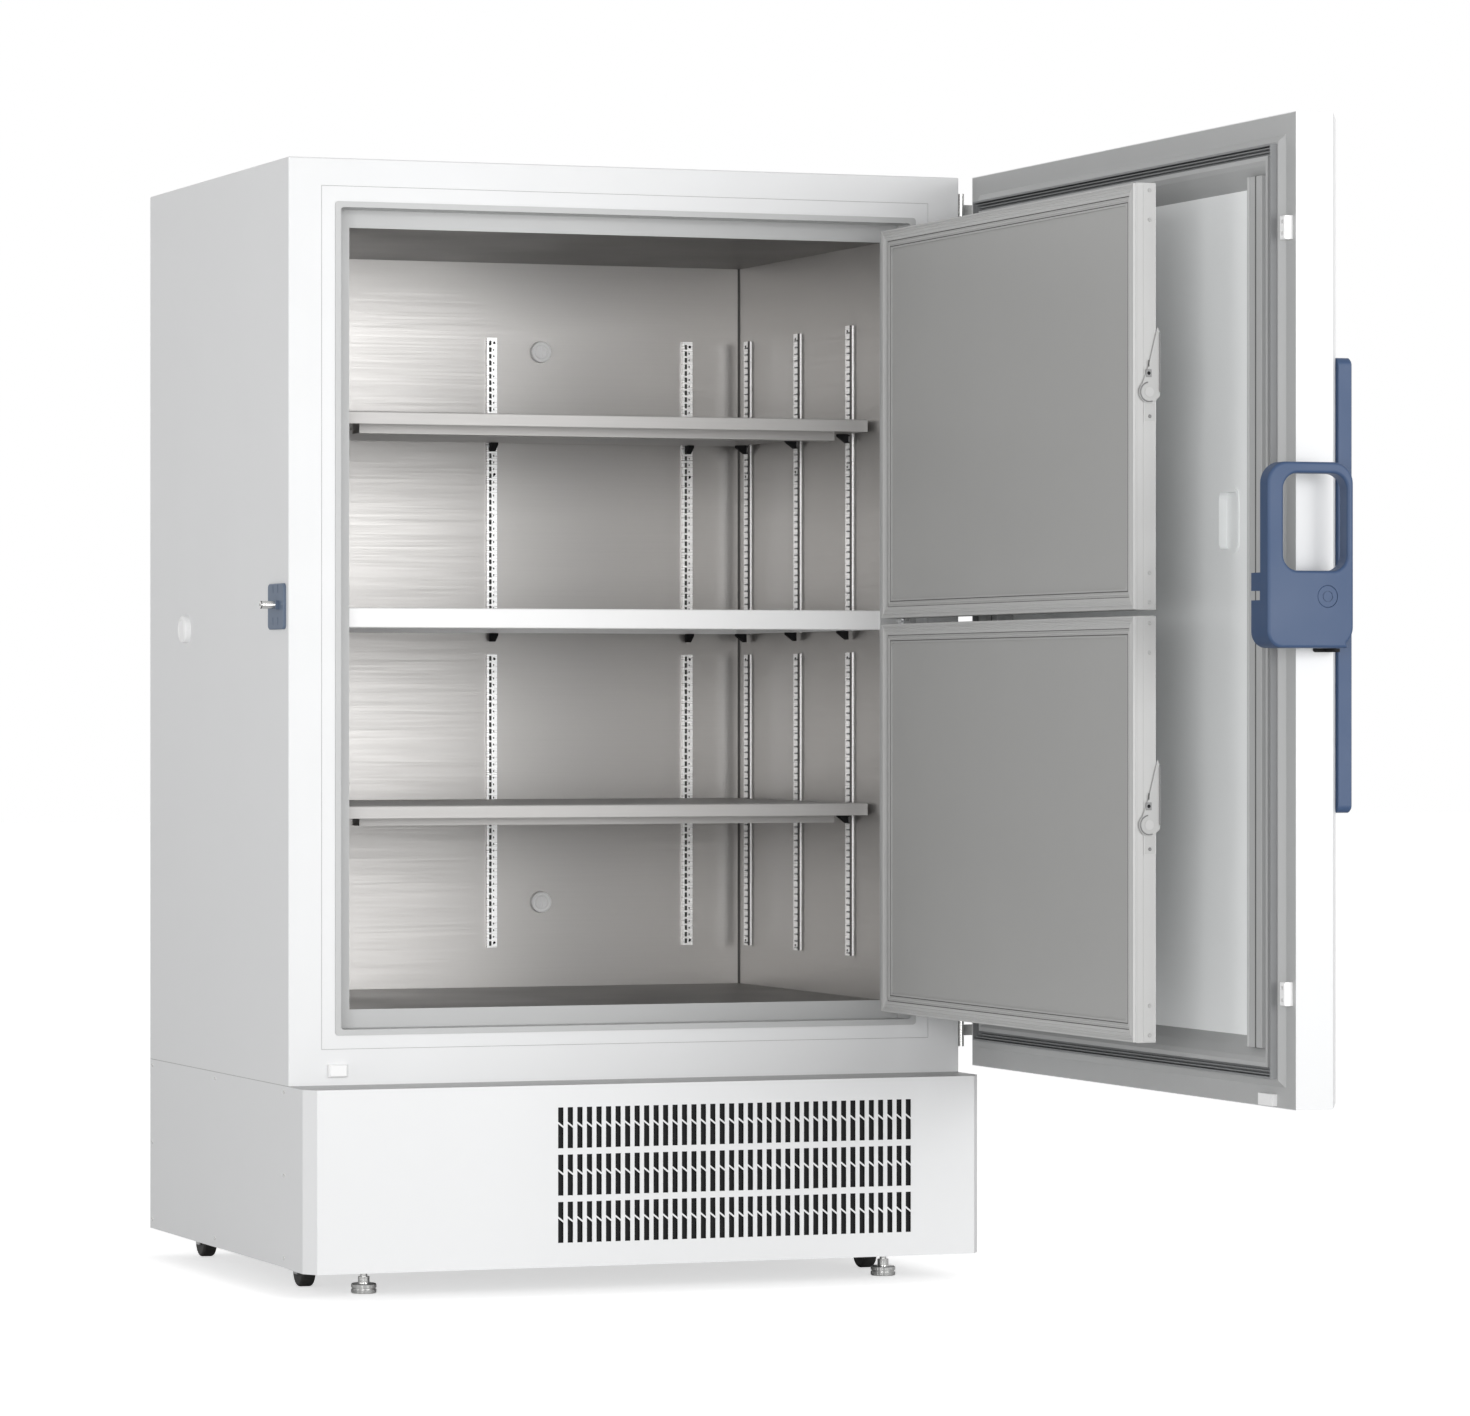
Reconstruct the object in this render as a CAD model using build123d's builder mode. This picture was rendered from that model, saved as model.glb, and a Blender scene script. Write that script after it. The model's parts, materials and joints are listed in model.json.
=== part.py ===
"""Upright ultra low temperature freezer, shown with its outer and inner doors open.

Frame: origin on the floor under the centre of the cabinet, +X to the right, +Y to the back, +Z up.
The front of the cabinet faces -Y. All lengths are in millimetres.
"""

import os

from build123d import *

# Driving dimensions of the cabinet
cabinet_width = 1266.0
cabinet_depth = 862.0
cabinet_height = 1980.0
base_top = 368.0
base_bottom = 52.0
skin = 1.2
bend_radius = 2.5

# Opening, breaker collar and liner: how far each lies inside the one before
front_flange = 60.0
flange_lift = 63.0
collar_side_margin = 85.0
collar_low_margin = 87.0
collar_top_margin = 75.0
collar_lip = 10.0
recess_depth = 60.0
liner_side_step = 44.0
liner_low_step = 42.0
liner_top_step = 41.0
back_insulation = 120.0
coil_space = 10.0

# Outer door and its hinge
door_gap = 21.0
door_thickness = 76.0
door_lift = 12.0
hinge_side = 4.7
hinge_forward = 2.0
hinge_radius = 4.5
hinge_pin_radius = 2.5

# Inner doors and their hinges
inner_door_thickness = 35.0
inner_door_setback = 9.0
inner_door_heel = 14.0
inner_door_side_gap = 11.5
inner_door_low_gap = 14.5
inner_door_top_gap = 15.5
inner_door_split = 10.0
inner_axis_inset = 11.0
inner_axis_depth = 7.0

# Base cover, casters and feet
cover_depth = 109.0
cover_bevel_width = 18.0
cover_bevel_depth = 28.0
tray_level = 80.0
wheel_radius = 30.0
caster_inset_x = 95.0
caster_front_inset = 195.0
caster_rear_inset = 62.0
left_foot_inset = 157.0
right_foot_inset = 122.5
foot_depth = 60.0

# Clearances: a running fit of a pin in its hole, a soft seat, and the overrun of a cut
running_fit = 0.05
seat_gap = 0.3
overrun = 1.0

# Places worked out from the driving dimensions
half_width = cabinet_width / 2
front_y = -cabinet_depth / 2
back_y = cabinet_depth / 2
collar_half_width = half_width - collar_side_margin
collar_low = base_top + collar_low_margin
collar_high = cabinet_height - collar_top_margin
recess_half_width = collar_half_width - collar_lip
recess_low = collar_low + collar_lip
recess_high = collar_high - collar_lip
liner_half = collar_half_width - liner_side_step
liner_low = collar_low + liner_low_step
liner_high = collar_high - liner_top_step
liner_front_y = front_y + recess_depth
liner_back_y = back_y - back_insulation
liner_depth = liner_back_y - liner_front_y
door_axis_x = half_width + hinge_side
door_axis_y = front_y - hinge_forward
door_face_x = door_axis_x + door_gap - hinge_forward
door_heel = hinge_side
door_toe = hinge_side + cabinet_width
door_low = base_top + door_lift
inner_axis_x = recess_half_width - inner_axis_inset
inner_axis_y = front_y + inner_axis_depth
inner_toe = inner_axis_x + recess_half_width - inner_door_side_gap
inner_back_x = inner_axis_x - inner_door_setback - inner_door_thickness
inner_door_low = recess_low + inner_door_low_gap
inner_doors_height = recess_high - inner_door_top_gap - inner_door_low
inner_door_height = (inner_doors_height - inner_door_split) / 2
upper_door_low = inner_door_low + inner_door_height + inner_door_split
upper_door_high = upper_door_low + inner_door_height


def front_plane(y):
    """A plane across the cabinet at depth y: local x is +X, local y is +Z, and it faces the front."""
    return Plane((0, y, 0), x_dir=(1, 0, 0), z_dir=(0, -1, 0))


def side_plane(x):
    """A plane along the cabinet at x: local x is +Y, local y is +Z, and it faces right."""
    return Plane((x, 0, 0), x_dir=(0, 1, 0), z_dir=(1, 0, 0))


def level(z):
    """A horizontal plane at height z."""
    return Plane.XY.offset(z)


def door_plane(inward):
    """A plane of the open outer door: local x runs from the hinge to the free end and local y is up.

    It lies inward of the door's inner frame face, and faces the door's cold side.
    """
    return Plane((door_face_x - inward, door_axis_y, 0), x_dir=(0, -1, 0), z_dir=(-1, 0, 0))


def inner_plane(inward):
    """A plane of the open inner doors, inward of their cold faces, with the same local axes."""
    return Plane((inner_back_x - inward, inner_axis_y, 0), x_dir=(0, -1, 0), z_dir=(-1, 0, 0))


def window(x_low, x_high, y_low, y_high, corner=0, mode=Mode.ADD):
    """A rectangle of the current sketch between two corners, with round corners if a radius is given."""
    width = x_high - x_low
    height = y_high - y_low
    with Locations(((x_low + x_high) / 2, (y_low + y_high) / 2)):
        if corner:
            RectangleRounded(width, height, corner, mode=mode)
        else:
            Rectangle(width, height, mode=mode)


def slab(plane, x_low, x_high, y_low, y_high, thickness, corner=0, mode=Mode.ADD):
    """A rectangular plate on a plane, extruded along the plane's normal or, if negative, against it."""
    with BuildSketch(plane) as plate:
        window(x_low, x_high, y_low, y_high, corner)
    extrude(plate.sketch, amount=thickness, mode=mode)


def ring(plane, outer, inner, thickness, corner=0, inner_corner=0, mode=Mode.ADD):
    """A rectangular ring between two (x_low, x_high, y_low, y_high) windows, extruded from a plane."""
    with BuildSketch(plane) as frame:
        window(*outer, corner)
        window(*inner, inner_corner, mode=Mode.SUBTRACT)
    extrude(frame.sketch, amount=thickness, mode=mode)


def inset(frame, by):
    """The window that lies inside another by one distance all round."""
    x_low, x_high, y_low, y_high = frame
    return x_low + by, x_high - by, y_low + by, y_high - by


def post(center, z_low, z_high, radius, mode=Mode.ADD):
    """An upright cylinder at an (x, y) place."""
    with BuildSketch(level(z_low)) as disc:
        with Locations(center):
            Circle(radius)
    extrude(disc.sketch, amount=z_high - z_low, mode=mode)


def write(piece, name):
    """Labels a finished piece and writes it as one STEP file."""
    piece.part.label = name
    export_step(piece.part, f"parts/{name}.step")


os.makedirs("parts", exist_ok=True)

# Painted wrapper: left side, top, right side, bottom and the front flange up to the thin seam
seam_top_gap = 48.0
seam_window = (
    front_flange - half_width,
    half_width - front_flange,
    base_top + flange_lift,
    cabinet_height - seam_top_gap,
)

with BuildPart() as cabinet_shell:
    slab(level(base_top), -half_width, half_width, front_y, back_y, cabinet_height - base_top)
    bent = cabinet_shell.edges().group_by(Axis.Y)[0].filter_by(Axis.Z)
    bent += cabinet_shell.edges().group_by(Axis.Z)[-1].filter_by(Axis.Y)
    bent += cabinet_shell.edges().group_by(Axis.Z)[-1].filter_by(Axis.X).sort_by(Axis.Y)[:1]
    fillet(bent, bend_radius)
    offset(amount=-skin, openings=cabinet_shell.faces().sort_by(Axis.Y)[-1])
    slab(front_plane(front_y + skin + overrun), *seam_window, skin + 2 * overrun, mode=Mode.SUBTRACT)
write(cabinet_shell, "cabinet_shell")

# Rear panel with upright stiffening beads pressed outwards
bead_count = 4
bead_width = 60.0
bead_height = 4.0
bead_margin = 170.0
bead_pitch = (cabinet_width - 2 * bead_margin) / (bead_count - 1)
panel_half = half_width - skin
panel_low = base_top + skin
panel_high = cabinet_height - skin
bead_middle = (panel_low + panel_high) / 2
bead_length = panel_high - panel_low - 2 * bead_margin

with BuildPart() as back_panel:
    slab(front_plane(back_y), -panel_half, panel_half, panel_low, panel_high, skin, corner=bend_radius)
    with BuildSketch(front_plane(back_y)):
        with Locations((0, bead_middle)):
            with GridLocations(bead_pitch, 0, bead_count, 1):
                SlotOverall(bead_length, bead_width, rotation=90)
    extrude(amount=-bead_height, taper=45)
    with BuildSketch(front_plane(back_y - skin - overrun)):
        with Locations((0, bead_middle)):
            with GridLocations(bead_pitch, 0, bead_count, 1):
                SlotOverall(bead_length - 4 * skin, bead_width - 4 * skin, rotation=90)
    extrude(amount=-bead_height - overrun, taper=45, mode=Mode.SUBTRACT)
write(back_panel, "back_panel")

# Front frame between the seam and the breaker collar
seam_gap = 0.8
collar_wall = 3.0
frame_window = inset(seam_window, seam_gap)
collar_outer = (-collar_half_width, collar_half_width, collar_low, collar_high)
recess_window = inset(collar_outer, collar_lip)
recess_shell = inset(recess_window, -collar_wall)

with BuildPart() as front_frame:
    ring(front_plane(front_y + skin), frame_window, inset(recess_shell, -seat_gap), skin)
write(front_frame, "front_frame")

# Stepped breaker collar: lip on the front frame, recess wall, and the seat of the inner doors
lip_height = 2.0
collar_corner = 6.0
seat_thickness = 4.0
liner_window = (-liner_half, liner_half, liner_low, liner_high)

with BuildPart() as breaker_collar:
    ring(front_plane(front_y), collar_outer, recess_window, lip_height, collar_corner, collar_corner)
    ring(front_plane(liner_front_y), recess_shell, recess_window, recess_depth)
    ring(front_plane(liner_front_y), recess_shell, liner_window, seat_thickness)
write(breaker_collar, "breaker_collar")

# Insulation boards between the wrapper and the liner, and bars behind the front frame
board_joint = 0.5
board_out = half_width - skin
board_in = liner_half + skin
board_back = back_y - skin
bar_in = recess_half_width + collar_wall
bar_front = front_y + skin
bar_back = liner_front_y - board_joint
bar_low = collar_low + collar_lip - collar_wall
bar_high = collar_high - collar_lip + collar_wall
coil_back = liner_back_y + skin + coil_space

with BuildPart() as insulation:
    for low, high in ((-board_out, -board_in), (board_in, board_out)):
        slab(level(panel_low), low, high, liner_front_y, board_back, panel_high - panel_low)
    board_half = board_in - board_joint
    top_board = panel_high - liner_high - skin
    slab(level(liner_high + skin), -board_half, board_half, liner_front_y, board_back, top_board)
    slab(level(panel_low), -board_half, board_half, liner_front_y, board_back, liner_low - skin - panel_low)
    back_low = liner_low - skin + board_joint
    back_height = liner_high - liner_low + 2 * (skin - board_joint)
    slab(level(back_low), -board_half, board_half, coil_back, board_back, back_height)
    for low, high in ((-board_out, -bar_in), (bar_in, board_out)):
        slab(level(panel_low), low, high, bar_front, bar_back, panel_high - panel_low)
    bar_half = bar_in - board_joint
    slab(level(panel_low), -bar_half, bar_half, bar_front, bar_back, bar_low - panel_low)
    slab(level(bar_high), -bar_half, bar_half, bar_front, bar_back, panel_high - bar_high)
    top_edges = insulation.edges().group_by(Axis.Z)[-1]
    bent = top_edges.filter_by(Axis.Y).filter_by(lambda e: abs(e.center().X) > board_out - skin)
    bent += top_edges.filter_by(Axis.X).filter_by(lambda e: e.center().Y < bar_front + skin)
    front_edges = insulation.edges().group_by(Axis.Y)[0].filter_by(Axis.Z)
    bent += front_edges.filter_by(lambda e: abs(e.center().X) > board_out - skin)
    chamfer(bent, bend_radius)
write(insulation, "insulation")

# Stainless liner
with BuildPart() as inner_liner:
    outer_height = liner_high - liner_low + 2 * skin
    slab(level(liner_low - skin), -board_in, board_in, liner_front_y, liner_back_y + skin, outer_height)
    slab(front_plane(liner_back_y), *liner_window, liner_depth + overrun, mode=Mode.SUBTRACT)
write(inner_liner, "inner_liner")

# Evaporator tube: one serpentine on the outside of the liner's back wall
coil_tube = 4.0
coil_runs = 8
coil_side_margin = 84.0
coil_margin = 120.0
coil_bend_share = 0.45
coil_half = liner_half - coil_side_margin
coil_y = liner_back_y + skin + coil_tube
coil_pitch = (liner_high - liner_low - 2 * coil_margin) / (coil_runs - 1)

with BuildPart() as evaporator_tube:
    turns = []
    for run in range(coil_runs):
        z = liner_low + coil_margin + run * coil_pitch
        side = 1 if run % 2 else -1
        turns += [(side * coil_half, coil_y, z), (-side * coil_half, coil_y, z)]
    with BuildLine() as route:
        FilletPolyline(*turns, radius=coil_bend_share * coil_pitch)
    with BuildSketch(Plane(turns[0], z_dir=(1, 0, 0))):
        Circle(coil_tube)
    sweep()
write(evaporator_tube, "evaporator_tube")

# Levels of the fixed divider and of the two loose shelves
divider_above_middle = 19.5
upper_shelf_drop = 318.0
lower_shelf_lift = 355.0
divider_top = (liner_low + liner_high) / 2 + divider_above_middle
upper_shelf_top = liner_high - upper_shelf_drop
lower_shelf_top = liner_low + lower_shelf_lift

# Strips that carry the shelves: three on the back wall, three on each side wall
strip_width = 17.0
strip_depth = 7.0
strip_sheet = 1.5
strip_low_gap = 75.0
strip_top_gap = 142.0
strip_end_drop = 75.0
strip_start_drop = 36.0
back_strip_inset = 108.5
front_strip_inset = 133.0
rear_strip_inset = 51.0
strip_low = liner_low + strip_low_gap
strip_high = liner_high - strip_top_gap
strip_break_low = divider_top - strip_end_drop
strip_break_high = divider_top - strip_start_drop
back_strip_pitch = liner_half - back_strip_inset
side_strip_pitch = (liner_depth - rear_strip_inset - front_strip_inset) / 2
back_strip_x = (-back_strip_pitch, 0, back_strip_pitch)
side_strip_y = [liner_back_y - rear_strip_inset - n * side_strip_pitch for n in range(3)]
strip_spans = ((strip_low, strip_break_low), (strip_break_high, strip_high))


def strip(outer, hollow, span):
    """One upright channel between two heights, open towards the wall that carries it."""
    with BuildSketch(level(span[0])) as section:
        window(*outer)
        window(*hollow, mode=Mode.SUBTRACT)
    extrude(section.sketch, amount=span[1] - span[0])


with BuildPart() as shelf_strips:
    half = strip_width / 2
    hollow_half = half - strip_sheet
    for span in strip_spans:
        for x in back_strip_x:
            face = liner_back_y - strip_depth
            outer = (x - half, x + half, face, liner_back_y)
            hollow = (x - hollow_half, x + hollow_half, face + strip_sheet, liner_back_y)
            strip(outer, hollow, span)
        for y in side_strip_y:
            face = liner_half - strip_depth
            hollow_face = face + strip_sheet
            across = (y - half, y + half)
            hollow_across = (y - hollow_half, y + hollow_half)
            strip((face, liner_half, *across), (hollow_face, liner_half, *hollow_across), span)
            strip((-liner_half, -face, *across), (-liner_half, -hollow_face, *hollow_across), span)
write(shelf_strips, "shelf_strips")

# Fixed divider and the two loose shelves
shelf_sheet = 1.5
shelf_hem = 22.0
shelf_clear = 3.0
shelf_front_inset = 32.0
divider_height = 35.0
divider_rail = 30.0
shelf_half = liner_half - strip_depth - shelf_clear
shelf_front = liner_front_y + shelf_front_inset
shelf_back = liner_back_y - strip_depth - shelf_clear
channel_inset = 60.0
channel_width = 40.0
channel_drop = 14.0

with BuildPart() as divider_shelf:
    divider_low = divider_top - divider_height
    rail_back = liner_front_y + divider_rail
    slab(level(divider_low), -liner_half, liner_half, liner_front_y, rail_back, divider_height)
    slab(level(divider_low), -shelf_half, shelf_half, rail_back, shelf_back, divider_height)
    slab(
        level(divider_low),
        shelf_sheet - shelf_half,
        shelf_half - shelf_sheet,
        rail_back,
        shelf_back - shelf_sheet,
        divider_height - shelf_sheet,
        mode=Mode.SUBTRACT,
    )
    nose = divider_shelf.edges().filter_by(Axis.X).group_by(Axis.Y)[0]
    fillet(nose, bend_radius)
write(divider_shelf, "divider_shelf")


def shelf(top):
    """A stainless tray turned down all round, with a reinforcing channel under its front edge."""
    with BuildPart() as tray:
        slab(level(top - shelf_hem), -shelf_half, shelf_half, shelf_front, shelf_back, shelf_hem)
        fillet(tray.edges().group_by(Axis.Z)[-1], 2 * shelf_sheet)
        offset(amount=-shelf_sheet, openings=tray.faces().sort_by(Axis.Z)[0])
        channel_front = shelf_front + channel_inset
        channel_low = top - shelf_hem - channel_drop
        channel_half = shelf_half - channel_width
        outer = (-channel_half, channel_half, channel_front, channel_front + channel_width)
        hollow_ends = (-channel_half - overrun, channel_half + overrun)
        hollow_sides = (channel_front + shelf_sheet, channel_front + channel_width - shelf_sheet)
        hollow_low = channel_low + shelf_sheet
        hollow_height = top - shelf_sheet - hollow_low
        slab(level(channel_low), *outer, top - shelf_sheet - channel_low)
        slab(level(hollow_low), *hollow_ends, *hollow_sides, hollow_height, mode=Mode.SUBTRACT)
    return tray


for name, top in (("upper_shelf", upper_shelf_top), ("lower_shelf", lower_shelf_top)):
    write(shelf(top), name)

# Clips that hang in the strips and carry the shelves and the divider
clip_reach = 20.0
clip_height = 16.0
clip_edge = 4.0
clip_width = 11.0
clip_levels = (upper_shelf_top - shelf_hem, divider_top - divider_height, lower_shelf_top - shelf_hem)


def clip(x, y, z, inward):
    """A bracket whose top carries a shelf, reaching inward from the face of a strip."""
    across = (inward[1], -inward[0], 0)
    with BuildSketch(Plane((x, y, z), x_dir=(*inward, 0), z_dir=across)) as gusset:
        with BuildLine():
            Polyline(
                (0, 0),
                (clip_reach, 0),
                (clip_reach, -clip_edge),
                (clip_edge, -clip_height),
                (0, -clip_height),
                close=True,
            )
        make_face()
    extrude(gusset.sketch, amount=clip_width / 2, both=True)


with BuildPart() as shelf_clips:
    for z in clip_levels:
        for x in back_strip_x:
            clip(x, liner_back_y - strip_depth, z, (0, -1))
        for y in side_strip_y:
            clip(liner_half - strip_depth, y, z, (-1, 0))
            clip(strip_depth - liner_half, y, z, (1, 0))
write(shelf_clips, "shelf_clips")

# Port plugs on the liner's back wall and the port cap on the left side
plug_radius = 20.0
plug_height = 8.0
plug_x = 99.0
plug_top_gap = 167.0
plug_low_gap = 160.0
plug_slot = 4.0
cap_radius = 25.0
cap_height = 11.0
cap_y = 189.0
cap_z = 1168.0
plug_upper_z = liner_high - plug_top_gap
plug_lower_z = liner_low + plug_low_gap

with BuildPart() as port_caps:
    with BuildSketch(front_plane(liner_back_y)):
        with Locations((plug_x, plug_upper_z), (plug_x, plug_lower_z)):
            Circle(plug_radius)
    extrude(amount=plug_height)
    fillet(port_caps.edges().group_by(Axis.Y)[0], plug_height / 4)
    with BuildSketch(front_plane(liner_back_y - plug_height)):
        with Locations((plug_x, plug_upper_z), (plug_x, plug_lower_z)):
            SlotOverall(plug_radius, plug_slot)
            SlotOverall(plug_radius, plug_slot, rotation=90)
    extrude(amount=-plug_height / 4, mode=Mode.SUBTRACT)
    with BuildSketch(side_plane(-half_width)):
        with Locations((cap_y, cap_z)):
            Circle(cap_radius)
    extrude(amount=-cap_height)
    fillet(port_caps.edges().group_by(Axis.X)[0], cap_height / 3)
write(port_caps, "port_caps")

# Strike on the left side: plate with slots, socket and pin
strike_thickness = 5.0
strike_front = 14.0
strike_length = 92.0
strike_low = 1161.0
strike_high = 1241.0
strike_corner = 8.0
strike_slot = 14.0
strike_slot_width = 3.0
socket_half = 7.5
socket_height = 6.0
pin_radius = 6.7
pin_setback = 47.0
pin_z = 1203.6
pin_length = 26.0
pin_bore = 2.5
pin_bore_depth = 6.0
pin_y = front_y + pin_setback
strike_middle = front_y + strike_front + strike_length / 2
strike_bottom = front_y + strike_front

with BuildPart() as strike_plate:
    plate_window = (strike_bottom, strike_bottom + strike_length, strike_low, strike_high)
    slab(side_plane(-half_width), *plate_window, -strike_thickness, corner=strike_corner)
    chamfer(strike_plate.edges().group_by(Axis.X)[0], strike_thickness / 3)
    with BuildSketch(side_plane(-half_width - strike_thickness)):
        with Locations((strike_middle, pin_z)):
            with GridLocations(2 * strike_slot, 4 * strike_slot, 2, 2):
                SlotOverall(strike_slot, strike_slot_width, rotation=90)
    extrude(amount=strike_thickness / 2, mode=Mode.SUBTRACT)
    socket_window = (pin_y - socket_half, pin_y + socket_half, pin_z - socket_half, pin_z + socket_half)
    slab(side_plane(-half_width - strike_thickness), *socket_window, -socket_height)
write(strike_plate, "strike_plate")

with BuildPart() as strike_pin:
    pin_root = -half_width - strike_thickness - socket_height
    with BuildSketch(side_plane(pin_root)):
        with Locations((pin_y, pin_z)):
            Circle(pin_radius)
    extrude(amount=-pin_length)
    chamfer(strike_pin.edges().group_by(Axis.X)[0], pin_radius / 6)
    with BuildSketch(side_plane(pin_root - pin_length)):
        with Locations((pin_y, pin_z)):
            Circle(pin_bore)
    extrude(amount=pin_bore_depth, mode=Mode.SUBTRACT)
write(strike_pin, "strike_pin")

# Cabinet side of the outer door's hinges, with the pins pressed in
hinge_height = 180.0
hinge_top_drop = 29.0
hinge_low_lift = 34.0
knuckles = 9
knuckle_gap = 0.4
leaf_thickness = 2.5
leaf_length = 45.0
knuckle_pitch = hinge_height / knuckles
hinge_starts = (door_low + hinge_low_lift, cabinet_height - hinge_top_drop - hinge_height)


def knuckle_spans(start, first):
    """The height spans of every other knuckle of one hinge, from the first one given."""
    return [
        (start + n * knuckle_pitch + knuckle_gap / 2, start + (n + 1) * knuckle_pitch - knuckle_gap / 2)
        for n in range(first, knuckles, 2)
    ]


with BuildPart() as cabinet_hinges:
    leaf_edge = door_axis_y + hinge_radius + running_fit + seat_gap
    leaf_face = half_width + leaf_thickness
    for start in hinge_starts:
        slab(level(start), half_width, leaf_face, leaf_edge, front_y + leaf_length, hinge_height)
        for low, high in knuckle_spans(start, 0):
            slab(level(low), half_width + seat_gap, leaf_face, door_axis_y, leaf_edge, high - low)
            post((door_axis_x, door_axis_y), low, high, hinge_radius)
        post((door_axis_x, door_axis_y), start, start + hinge_height, hinge_pin_radius)
write(cabinet_hinges, "cabinet_hinges")

# Rest block on the cabinet front, below the latch side of the door
block_height = 22.0
block_width = 33.0
block_inset = 72.0
block_lift = 15.0
block_depth = 9.0
block_bevel_share = 0.25

with BuildPart() as rest_block:
    block_x = block_inset - half_width
    block_low = base_top + block_lift
    block_face = (block_x, block_x + block_width, block_low, block_low + block_height)
    slab(front_plane(front_y), *block_face, block_depth)
    chamfer(rest_block.edges().group_by(Axis.Y)[0], block_bevel_share * block_depth)
write(rest_block, "rest_block")

# Brackets with pins that carry the two inner doors
inner_pin_radius = 4.0
inner_pin_reach = 14.0
bracket_thickness = 3.0
bracket_depth = 22.0
knuckle_radius = 6.5

with BuildPart() as inner_hinge_brackets:
    middle = upper_door_low - inner_door_split / 2
    plates = (
        (inner_door_low - bracket_thickness - seat_gap, 0, 1),
        (middle - bracket_thickness / 2, 1, 1),
        (upper_door_high + seat_gap, 1, 0),
    )
    for low, down, up in plates:
        slab(
            level(low),
            inner_axis_x - knuckle_radius,
            recess_half_width,
            inner_axis_y - knuckle_radius,
            inner_axis_y - knuckle_radius + bracket_depth,
            bracket_thickness,
        )
        center = (inner_axis_x, inner_axis_y)
        reach_up = inner_pin_reach + inner_door_split / 2
        post(center, low - down * reach_up, low + bracket_thickness + up * reach_up, inner_pin_radius)
write(inner_hinge_brackets, "inner_hinge_brackets")

# Base frame: tray, corner posts and top rails
frame_sheet = 3.0
post_size = 38.0
side_gap = 0.5
frame_half = half_width - skin - side_gap
frame_back = back_y - skin - side_gap
frame_front = front_y + side_gap
stem_radius = 6.0
foot_y = front_y + foot_depth
foot_centers = ((left_foot_inset - half_width, foot_y), (half_width - right_foot_inset, foot_y))
caster_centers = [
    (sign * (half_width - caster_inset_x), y)
    for y in (front_y + caster_front_inset, back_y - caster_rear_inset)
    for sign in (-1, 1)
]
kingpin_radius = 6.0

with BuildPart() as base_frame:
    slab(level(tray_level), -frame_half, frame_half, frame_front, frame_back, frame_sheet)
    for x_out, x_in in ((-frame_half, post_size - frame_half), (frame_half, frame_half - post_size)):
        for y_out, y_in in ((frame_front, frame_front + post_size), (frame_back, frame_back - post_size)):
            x_sheet = x_out + (frame_sheet if x_in > x_out else -frame_sheet)
            y_sheet = y_out + (frame_sheet if y_in > y_out else -frame_sheet)
            with BuildSketch(level(tray_level)):
                window(*sorted((x_out, x_in)), *sorted((y_out, y_in)))
                window(*sorted((x_sheet, x_in)), *sorted((y_sheet, y_in)), mode=Mode.SUBTRACT)
            extrude(amount=base_top - tray_level)
    for y_out, y_in in ((frame_front, frame_front + post_size), (frame_back - post_size, frame_back)):
        slab(level(base_top - frame_sheet), -frame_half, frame_half, y_out, y_in, frame_sheet)
    for x_out, x_in in ((-frame_half, post_size - frame_half), (frame_half - post_size, frame_half)):
        slab(level(base_top - frame_sheet), x_out, x_in, frame_front, frame_back, frame_sheet)
    for center in foot_centers:
        hole_radius = stem_radius + running_fit
        post(center, tray_level - overrun, tray_level + frame_sheet + overrun, hole_radius, Mode.SUBTRACT)
    for center in caster_centers:
        hole_radius = kingpin_radius + running_fit
        post(center, tray_level - overrun, tray_level + frame_sheet + overrun, hole_radius, Mode.SUBTRACT)
write(base_frame, "base_frame")

# Painted panels round the base: left, right and the louvred rear one with the power inlet
panel_joint = 0.4
louvre_rows = 9
louvre_columns = 3
louvre_length = 220.0
louvre_width = 6.0
louvre_row_pitch = 22.0
louvre_column_pitch = 300.0
louvre_x = -90.0
inlet_inset = 153.0
inlet_z = 160.0
inlet_width = 48.0
inlet_height = 28.0
inlet_depth = 40.0
inlet_flange = 6.0
inlet_flange_depth = 2.4
inlet_pins = 3
inlet_pin_half = 1.5
inlet_well = 16.0
base_height = base_top - base_bottom
inlet_x = half_width - inlet_inset

with BuildPart() as base_panels:
    for low, high in ((-half_width, skin - half_width), (half_width - skin, half_width)):
        slab(level(base_bottom), low, high, front_y, back_y, base_height)
    rear_half = half_width - skin - panel_joint
    slab(front_plane(back_y), -rear_half, rear_half, base_bottom, base_top, skin)
    with BuildSketch(front_plane(back_y + overrun)):
        with Locations((louvre_x, base_bottom + base_height / 2)):
            with GridLocations(louvre_column_pitch, louvre_row_pitch, louvre_columns, louvre_rows):
                SlotOverall(louvre_length, louvre_width)
        with Locations((inlet_x, inlet_z)):
            Rectangle(inlet_width, inlet_height)
    extrude(amount=skin + 2 * overrun, mode=Mode.SUBTRACT)
    inlet_sides = (inlet_x - inlet_width / 2, inlet_x + inlet_width / 2)
    inlet_body = (*inlet_sides, inlet_z - inlet_height / 2, inlet_z + inlet_height / 2)
    slab(front_plane(back_y), *inset(inlet_body, -inlet_flange), -inlet_flange_depth)
    slab(front_plane(back_y), *inlet_body, inlet_depth)
    inlet_mouth = inset(inlet_body, inlet_flange)
    slab(front_plane(back_y + inlet_flange), *inlet_mouth, inlet_flange + inlet_well, mode=Mode.SUBTRACT)
    with BuildSketch(front_plane(back_y + skin)):
        with Locations((inlet_x, inlet_z)):
            with GridLocations(inlet_width / 4, 0, inlet_pins, 1):
                Rectangle(2 * inlet_pin_half, 2 * inlet_pin_half)
    extrude(amount=inlet_well + skin + overrun)
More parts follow.
